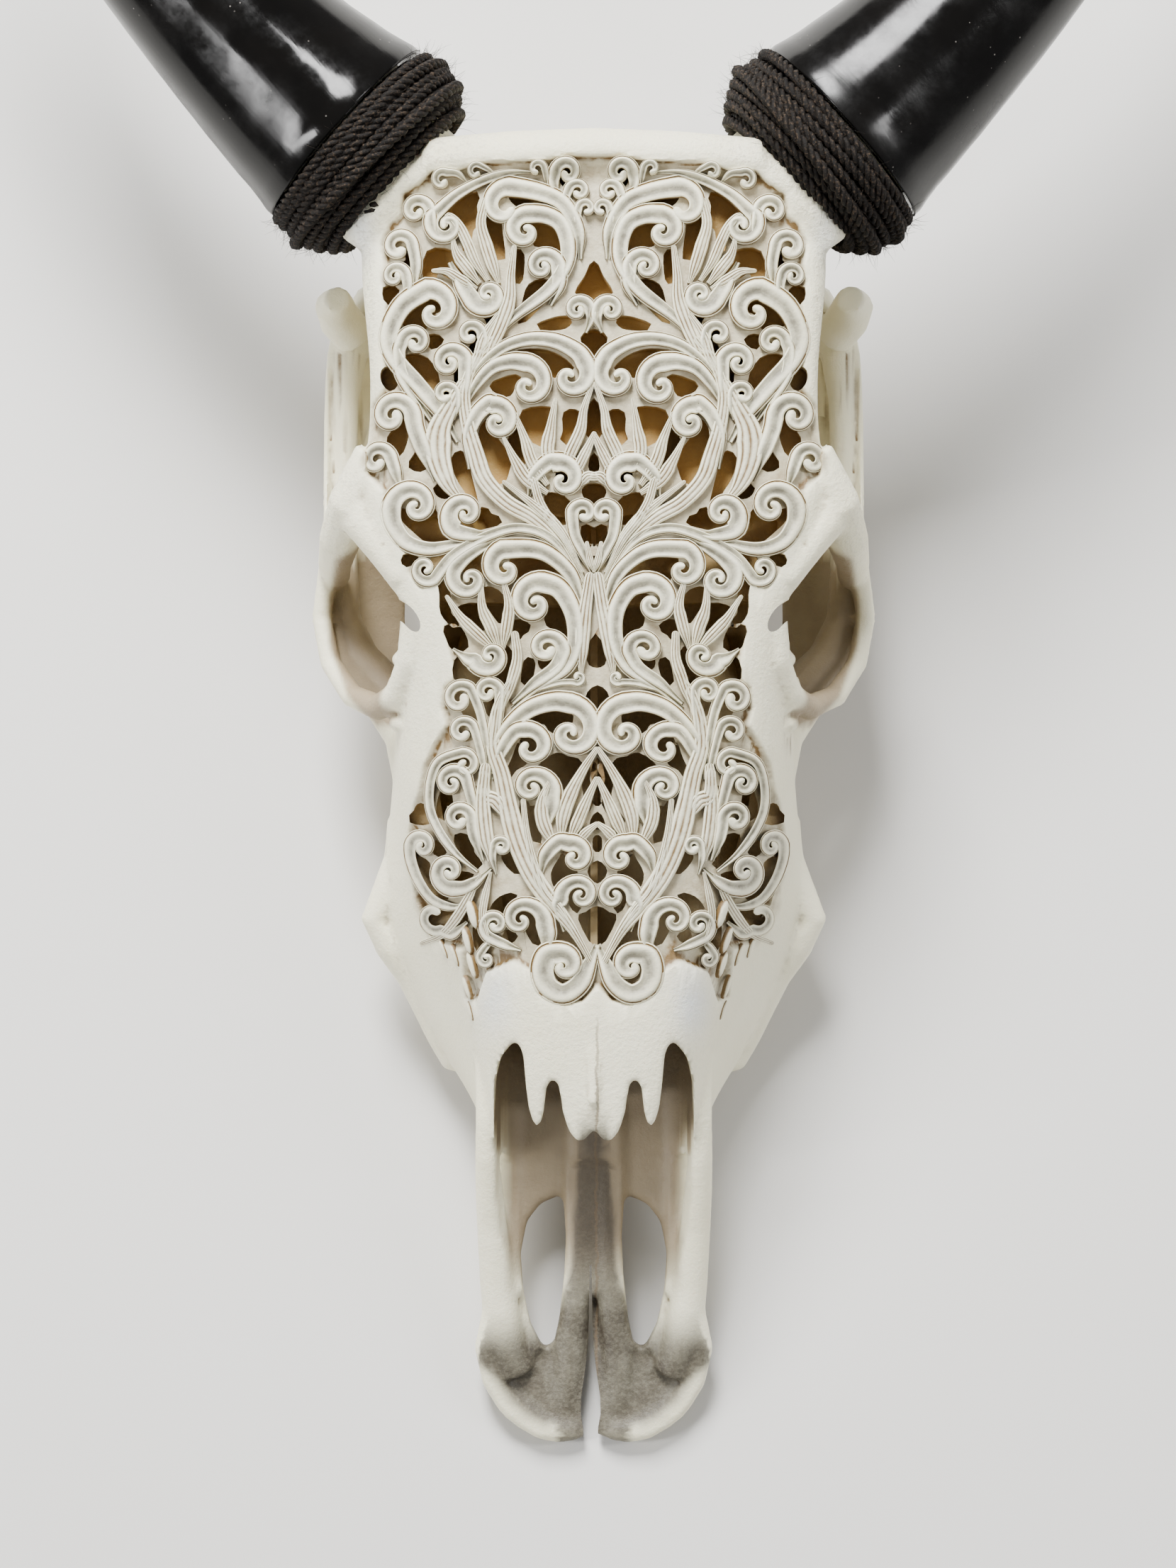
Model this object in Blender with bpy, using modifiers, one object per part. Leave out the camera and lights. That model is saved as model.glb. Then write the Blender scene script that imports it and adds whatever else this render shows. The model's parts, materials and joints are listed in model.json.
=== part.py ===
"""Carved cow skull with rope-bound black horns, lying face up on its cheek teeth and its occipital processes.

Everything is modelled in the skull's face frame, in metres: X to the viewer's right, Y from nose to poll
along the forehead, Z out of the forehead. An empty then tips the whole skull into the pose in which it
rests on a table, so world Z is up and Z = 0 is the table.
"""

import math

import bmesh
import bpy
from mathutils import Matrix, Vector
from mathutils.bvhtree import BVHTree

MM = 0.001

# Driving dimensions
REST_TILT = math.radians(12)
TABLE_DEPTH = 127.5 * MM
JOINT_GAP = 0.4 * MM
BONE_VOXEL = 2.0 * MM
BONE_TRIANGLES = 7600

HORN_BASE_RADIUS = 40.5 * MM
HORN_LENGTH = 370 * MM
HORN_WALL = 5 * MM
CORE_RADIUS = 33 * MM
ROPE_BAND_WIDTH = 25 * MM
ROPE_BAND_RADIUS = 42.5 * MM

BONE = (0.80, 0.77, 0.68, 1)
TOOTH = (0.74, 0.68, 0.52, 1)
HORN = (0.012, 0.011, 0.011, 1)
ROPE = (0.075, 0.055, 0.040, 1)

# The braincase and muzzle as half sections, poll to nose. Each is the distance from the nose-poll middle,
# then (half width, depth) pairs in millimetres from the forehead's middle round to the palate's middle.
SECTIONS = (
    (241, (0, -18), (34, -18), (62, -24), (68, -42), (64, -70), (54, -98), (40, -122), (20, -134), (0, -134)),
    (226, (0, -1), (42, -1), (75, -7), (84, -28), (76, -62), (64, -94), (50, -122), (25, -138), (0, -137)),
    (198, (0, 0), (46, -1), (84, -5), (92, -20), (76, -50), (64, -84), (56, -116), (27, -138), (0, -138)),
    (165, (0, 1), (45, 0), (79, -4), (88, -14), (64, -34), (56, -74), (54, -108), (26, -132), (0, -132)),
    (132, (0, 1), (45, 0), (77, -4), (87, -13), (62, -32), (52, -70), (47, -104), (23, -124), (0, -124)),
    (106, (0, 1), (46, 0), (80, -4), (95, -14), (68, -36), (52, -70), (44, -98), (21, -114), (0, -114)),
    (72, (0, 0), (44, -1), (68, -5), (78, -16), (66, -42), (56, -70), (50, -96), (24, -106), (0, -106)),
    (36, (0, -1), (40, -2), (60, -8), (73, -24), (75, -48), (72, -74), (62, -98), (36, -102), (0, -102)),
    (0, (0, -2), (36, -3), (57, -9), (71, -25), (77, -50), (77, -74), (66, -98), (40, -100), (0, -98)),
    (-30, (0, -3), (32, -4), (50, -10), (65, -27), (75, -52), (85, -72), (67, -96), (41, -97), (0, -93)),
    (-56, (0, -5), (28, -6), (43, -12), (54, -30), (67, -55), (87, -73), (69, -93), (41, -93), (0, -89)),
    (-82, (0, -7), (24, -8), (37, -13), (45, -28), (52, -52), (75, -79), (64, -89), (37, -89), (0, -85)),
    (-106, (0, -10), (22, -11), (33, -16), (41, -30), (44, -50), (60, -80), (52, -87), (29, -84), (0, -80)),
    (-128, (0, -13), (19, -14), (31, -22), (40, -35), (42, -52), (42, -70), (38, -79), (24, -79), (0, -77)),
    (-142, (0, -17), (17, -18), (29, -28), (39, -40), (42, -54), (41, -68), (36, -76), (24, -76), (0, -75)),
)

# The hollow inside the bone: frontal sinus behind the carved plate, opening into the nasal passage.
HOLLOW = (
    (222, (0, -7), (40, -7), (66, -12), (68, -22), (40, -28), (0, -28)),
    (195, (0, -5), (44, -6), (76, -10), (78, -20), (44, -32), (0, -33)),
    (160, (0, -4), (44, -5), (74, -9), (72, -18), (44, -34), (0, -36)),
    (130, (0, -4), (44, -5), (73, -9), (70, -18), (44, -36), (0, -38)),
    (104, (0, -4), (44, -5), (74, -9), (74, -20), (46, -40), (0, -44)),
    (70, (0, -5), (42, -6), (62, -10), (60, -26), (48, -50), (0, -60)),
    (36, (0, -6), (38, -7), (55, -13), (66, -28), (60, -72), (0, -84)),
    (0, (0, -7), (34, -8), (52, -14), (65, -29), (60, -78), (0, -88)),
    (-30, (0, -8), (30, -9), (46, -15), (60, -32), (58, -80), (0, -84)),
    (-56, (0, -10), (26, -11), (39, -17), (50, -34), (54, -80), (0, -80)),
    (-82, (0, -12), (22, -13), (33, -18), (41, -32), (44, -74), (0, -76)),
    (-106, (0, -14), (20, -15), (30, -21), (37, -33), (40, -72), (0, -71)),
    (-128, (0, -17), (17, -18), (28, -27), (36, -38), (38, -66), (0, -68)),
    (-160, (0, -22), (15, -23), (27, -33), (35, -44), (36, -62), (0, -64)),
)


# The wall under each eye: distance along the skull, then (out, depth) of its rim, its middle and its root
ORBIT_WALL = (
    (14, (70, -60), (69, -68), (66, -78)),
    (24, (81, -64), (76, -76), (68, -86)),
    (36, (94, -68), (85, -84), (68, -94)),
    (50, (103.5, -70), (91, -89), (70, -100)),
    (64, (107, -70), (92, -91), (73, -103)),
    (78, (106, -68), (92, -89), (71, -102)),
    (92, (103, -66), (92, -84), (72, -98)),
    (108, (103, -70), (96, -84), (78, -98)),
    (130, (103, -76), (97, -87), (83, -98)),
    (155, (103, -78), (97, -88), (82, -98)),
    (178, (101, -78), (95, -88), (76, -98)),
)

SMALLEST_OPENING = 7.5
RIB_RISE = 1.6 * MM
RIB_DEPTH = 4.0 * MM

# The carved pattern's left half, in millimetres from the middle of the face: (x, y) to the viewer's right and
# toward the poll. A scroll is its stem's points, then its volute as (eye x, eye y, outer radius, start angle,
# turn in degrees, inner radius), then the ribbon's width at the root, at the shoulder and at the eye.
SCROLLS = (
    # Round the poll
    (((-13, 216), (-15, 221)), (-9.5, 224.7, 5, 180, -330, 1.5), (3, 4.5, 2.4)),
    (((-9, 210), (-10.5, 215)), (-5.6, 218, 4, 170, -300, 1.4), (2.5, 3.6, 2.2)),
    (((-6, 204), (-6.4, 208)), (-2.8, 211.5, 3.1, 180, -260, 1.4), (2.5, 2.8, 2)),
    (((-17, 220), (-17.5, 224)), (-21, 226, 3, 0, 250, 1.2), (2, 2.4, 1.6)),
    (((-20, 225), (-30, 225), (-40, 222.5), (-50, 217.5), (-57.5, 211)), (-54, 205.5, 6.6, 150, 390, 1.3),
     (1.5, 5.6, 2.2)),
    (((-5, 193), (-5.5, 203), (-11, 213.5), (-20, 218)), (-32.5, 212, 8.2, 80, 240, 2.6), (4, 7, 3)),
    (((-40, 160), (-30, 171), (-17, 181), (-10.5, 190), (-9.3, 198), (-12, 206), (-18, 209.5)),
     (-25, 203, 6.8, 90, 350, 1.4), (4, 6.6, 2.2)),
    (((-16, 176), (-12.8, 183)), (-19, 190, 6.4, 0, 400, 1.2), (4, 5.6, 2.2)),
    (((-58, 199), (-59.5, 207)), (-65.5, 211, 5.4, 10, 330, 1.5), (3, 4.4, 2.4)),
    (((-66, 182), (-65.2, 191)), (-72, 198, 5.6, 5, 290, 2.2), (3.5, 4.5, 3.4)),
    (((-70, 177), (-68.3, 183)), (-73.4, 187, 4.6, 0, 380, 1.2), (3, 4, 1.9)),
    (((-46, 221), (-50, 224.5)), (-56, 222.2, 3.4, 60, 260, 1.4), (1.5, 2.8, 2.2)),
    (((-36, 224.5), (-40, 226.5)), (-43.5, 225.2, 2.8, 60, 250, 1.2), (1.4, 2.2, 1.6)),
    (((-50, 126), (-56, 136), (-65, 147), (-73, 156), (-76, 165), (-71, 176)),
     (-59, 173.5, 9.2, 105, -350, 1.5), (5, 7.6, 2.4)),
    # The upper leaf's curl
    (((-53, 192), (-49, 184)), (-39, 179.9, 6.4, 200, 420, 1.2), (4, 6.4, 2)),
    # Beside the brow
    (((-48.5, 136), (-47.5, 145), (-47, 153)), (-53.2, 154.8, 6.4, 15, 400, 1.3), (3.5, 5.4, 2.2)),
    (((-51.5, 134), (-50.5, 139)), (-54.6, 143.3, 4.1, -10, 300, 1.6), (3, 4, 2.4)),
    (((-60, 134), (-66, 142.5), (-71, 151), (-72, 159)), (-65.5, 162.5, 5.5, 180, -340, 1.5),
     (4, 4.6, 2.6)),
    (((-3, 166), (-0.8, 171)), (-6, 174, 5, 0, 380, 1.2), (3, 4.5, 2)),
    (((-43.5, 156), (-40.5, 162)), (-45.5, 165.3, 4.8, -10, 300, 1.6), (3, 4, 2.6)),
    (((-58, 112), (-62, 122), (-65, 130)), (-74.3, 135.5, 8.3, -5, 380, 1.8), (5, 6.2, 3)),
    (((-71, 109), (-73, 116)), (-80.2, 119.5, 5.8, 10, 310, 2), (4, 5, 3)),
    (((-40, 91.5), (-50, 88.5), (-60, 86.5), (-69, 89), (-74, 95.5)), (-65.5, 102, 9.6, 185, -430, 1.2),
     (3, 7, 2.2)),
    (((-36, 93), (-43, 91.5), (-50, 92.5)), (-47, 99.5, 7.4, 225, -400, 1.2), (3, 6.8, 2)),
    # The two great volutes that meet in the middle of the forehead
    (((-49, 140), (-43, 152), (-34, 160.3), (-24, 163.7), (-14, 163), (-6, 159)),
     (-9, 149.5, 8, 40, -340, 1.3), (2.5, 6.6, 2.2)),
    (((-49, 136), (-44, 146), (-38, 153), (-31, 155.5)), (-24.5, 146.2, 9, 95, -390, 1.3), (3, 6.6, 2.2)),
    (((-45.5, 116), (-46.5, 127), (-43.5, 135.5), (-39, 140)), (-35.5, 133, 7, 105, -400, 1.2),
     (4, 6.4, 2.2)),
    (((-24, 106), (-22.5, 113), (-17, 118.5)), (-11.5, 111.5, 7.4, 105, -340, 1.3), (4, 7, 2.2)),
    (((-0.5, 77), (-3.5, 84), (-7, 91), (-8, 97)), (-3.6, 99.5, 4.5, 170, -280, 1.5), (3, 4.4, 2.4)),
    # Between the eyes
    (((-3, 70), (-10, 84), (-18, 91.5), (-28, 94), (-38, 91.5), (-47, 87), (-53, 82.5)),
     (-62, 79.5, 5.4, -50, -370, 1.2), (3, 4.4, 2)),
    (((-3.5, 62), (-7, 75), (-14, 83), (-22, 86.7)), (-32.3, 79, 7.8, 100, 340, 1.3), (4, 6.6, 2.3)),
    (((-34, 90), (-41, 87.5), (-47, 84)), (-45.5, 75.5, 7.4, 140, 400, 1.3), (2.5, 6, 2)),
    (((-30, 28), (-20, 36.5), (-11.5, 43), (-7.5, 51), (-7, 60), (-9, 67), (-13, 72.5)),
     (-21.5, 66.3, 8.8, 70, 410, 1.3),
     (4, 7.2, 2.2)),
    (((-30, 30), (-22, 37), (-15, 42.5), (-12, 48)), (-17.8, 50, 6, 0, 330, 2), (4, 5, 3)),
    (((-52, 50), (-47, 46.5)), (-38, 47.5, 6.5, 200, 400, 1.2), (2.5, 5.8, 2)),
    (((-26, 33), (-16, 36.8), (-10.5, 37.6)), (-7, 39.3, 2.2, 250, 260, 0.9), (2, 2.4, 1.8)),
    # The nose: the volutes that meet in the middle, and the ones beside them
    (((-38, 2), (-36, 14), (-31, 22), (-24, 28), (-16, 30.8)), (-10, 19, 11.3, 90, -440, 1.3), (4, 7, 2.2)),
    (((-37, 4), (-34, 13), (-29.5, 19.5)), (-23.7, 13.5, 7.3, 100, -310, 1.9), (4, 5.6, 2.4)),
    (((-18, -17), (-15.8, -9)), (-23.2, -1.2, 7.8, -20, 420, 1.3), (3.5, 6, 2.2)),
    (((-37, 10), (-35.5, 21), (-34.6, 30)), (-39.2, 34, 4.8, 10, 340, 1.4), (2.5, 4, 2.3)),
    (((-38.5, 4), (-39.5, 15), (-41.5, 26), (-44.5, 34)), (-49.5, 31.5, 5.8, 50, 320, 1.8), (2.5, 4, 3)),
    (((-39.5, 1), (-41, 10), (-43, 18)), (-48.5, 19.6, 4.7, 30, 290, 1.8), (2.5, 3.6, 2.6)),
    (((-43, -32), (-51, -25.5), (-57.5, -17), (-61, -8), (-60.5, 2), (-57, 9)),
     (-47.5, 7.2, 5, 100, -340, 1.2), (3, 3.6, 2)),
    (((-42, -17), (-44.5, -7), (-46.5, 1)), (-52.6, 0.5, 6, 30, 390, 1.2), (3, 5, 2)),
    (((-41, -28), (-44, -19)), (-50, -12.5, 5.3, -10, 330, 2), (3.5, 4.6, 3)),
    (((-36, -33), (-37.5, -27)), (-34, -22.7, 3.2, 185, -310, 1.4), (2, 3, 2.4)),
    (((-38, -31), (-43, -35.5), (-48, -38.3)), (-53.5, -32, 6.8, -80, -420, 1.3), (3, 6, 2.3)),
    (((-46, -44), (-53, -45.5), (-60.5, -43), (-66, -36), (-69, -28)), (-64, -23, 5.2, 175, -400, 1.1),
     (3, 4.6, 2)),
    (((-47, -51), (-53, -56)), (-60, -50, 5.5, -60, -230, 3), (3, 4, 3)),
    (((-20, -33), (-18.5, -26), (-14, -20.8)), (-8.4, -26.8, 6, 110, -330, 1.3), (4, 6, 2.3)),
    (((-12, -54), (-14.5, -45)), (-6, -40.8, 7.6, 190, -430, 1.2), (3, 5.4, 2)),
    (((0, -59), (-2.8, -66), (-6.5, -73.5), (-12.3, -77.2), (-17.8, -74.5), (-19.7, -68.5), (-18, -62.8)),
     (-12.3, -67, 5.6, 110, -300, 1.2), (6, 7.5, 2.2)),
    (((-18, -64), (-17.5, -56)), (-27, -50, 9, -10, 420, 1.2), (5, 6, 2)),
    (((-27, -61), (-32.5, -59.3)), (-36.3, -51.5, 5.6, 245, -390, 1.3), (3, 4, 2.2)),
    (((-37, -57), (-40.3, -60)), (-39.9, -64.5, 2.9, 150, 300, 1), (2.5, 2.8, 1.8)),
)

# Stems, flames and leaves: their points from root to tip, and their width at the root, middle and tip.
BLADES = (
    (((-2, -66), (-9, -53.5), (-16.5, -43), (-23.5, -32), (-28.5, -20), (-31.5, -8), (-34, 4), (-37, 14),
     (-36, 25), (-33, 34)),
     (6, 8, 4)),
    (((-6, 40), (-5.5, 48), (-4.5, 57), (-3, 66), (-1.5, 76)), (4, 6, 4)),
    (((-8, -56), (-13, -47), (-19, -39), (-22.5, -28), (-24.8, -17), (-26, -6)), (3, 3.4, 2)),
    (((-3, 72), (-12, 88), (-22, 97.5), (-32, 103.5), (-40, 112), (-43.5, 122), (-46.5, 133), (-47.5, 144),
     (-44, 155),
      (-38, 163)), (5, 6.4, 3)),
    (((-4, 78), (-12, 93), (-22, 102.5), (-33, 111)), (2, 4, 1.4)),
    (((-3, 74), (-10, 89), (-16, 97), (-20, 104), (-22, 111)), (2, 3.6, 3)),
    (((-46, 102), (-53, 109.5), (-57, 120), (-57, 130), (-53, 138.5), (-48.5, 147)), (4, 11, 4)),
    (((-42, 150), (-38, 160), (-34, 169), (-31, 178), (-30.5, 187), (-29.3, 197)), (4, 5.6, 2)),
    (((-48, 146), (-43, 156), (-40, 165), (-35.5, 172)), (3, 4.4, 2)),
    # Upper leaf
    (((-35, 184), (-37, 190), (-39.5, 198), (-41.5, 206), (-40, 214)), (4, 4.8, 3)),
    (((-39, 185), (-43.5, 192), (-46.5, 199), (-50, 206), (-53.5, 209), (-54.5, 205.5)), (4.5, 4, 1.6)),
    (((-42, 184), (-47, 190), (-50.5, 195), (-52, 201)), (4.5, 4.4, 1.4)),
    (((-43, 182), (-49, 185.5), (-54, 188.5), (-59, 188.8)), (4.5, 3.6, 1.4)),
    # Great leaf of the forehead
    (((-17, 107), (-24.5, 112), (-29, 119), (-33, 127)), (5, 5, 1.4)),
    (((-17, 110), (-22.5, 118), (-25.5, 127), (-29, 136)), (5, 4.6, 1.6)),
    (((-14, 115), (-17, 122), (-15.8, 131), (-14.2, 141)), (5, 5, 1.6)),
    (((-10, 115), (-9, 121), (-5, 130), (-3.6, 138), (-0.5, 147)), (5, 4.4, 1.6)),
    (((-8, 112), (-5, 118), (-2, 124), (0, 128.5)), (4.4, 4, 2)),
    (((-5, 110), (-2.5, 113), (0, 113)), (4, 4, 3.4)),
    (((0, 78), (-1.6, 83), (-2.6, 88.6)), (2, 2.6, 1.4)),
    # Leaf between the eyes
    (((-36, 49), (-43, 55.5), (-49, 61.5), (-54, 69)), (4.5, 4.6, 1.6)),
    (((-35, 50), (-38, 58), (-41, 65), (-41.5, 74)), (4.5, 4.4, 1.6)),
    (((-33.5, 50), (-32, 58), (-31.2, 66), (-33, 74)), (4.5, 4.8, 2)),
    (((-33.5, 28), (-30.5, 37), (-28.2, 46), (-29, 55)), (3, 4.6, 3)),
    (((-38, 8), (-36.6, 20), (-35, 30), (-31, 38)), (3, 4, 2)),
    # Leaf of the nose
    (((-15, -23), (-19, -14), (-19.5, -6), (-17, 1)), (5, 4.6, 1.4)),
    (((-13, -21), (-12.5, -12), (-9.6, -3), (-5.2, 5.5), (-0.4, 13)), (5, 5.2, 2)),
    (((-10, -20), (-7, -13), (-3.6, -5), (-0.4, 2)), (5, 4.4, 2)),
    (((-7, -20.5), (-3.6, -17), (-0.4, -14.5)), (4.4, 3.6, 2)),
    (((-40, -30), (-43.5, -40), (-45.5, -52), (-46, -66), (-46.5, -80)), (4, 4.4, 2)),
    (((-38, -32), (-40.3, -42), (-41.2, -50), (-39, -58)), (3, 3.2, 2)),
    (((-42, -33), (-46.5, -42), (-51.5, -50), (-57.5, -56.5), (-65, -60)), (3.4, 4, 2)),
    (((-31, -14), (-36, -6), (-40, -4), (-40.5, 4)), (5, 6, 4)),
    (((-38, -28), (-40, -18), (-41, -6), (-40, 6)), (6, 6, 4)),
)

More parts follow.
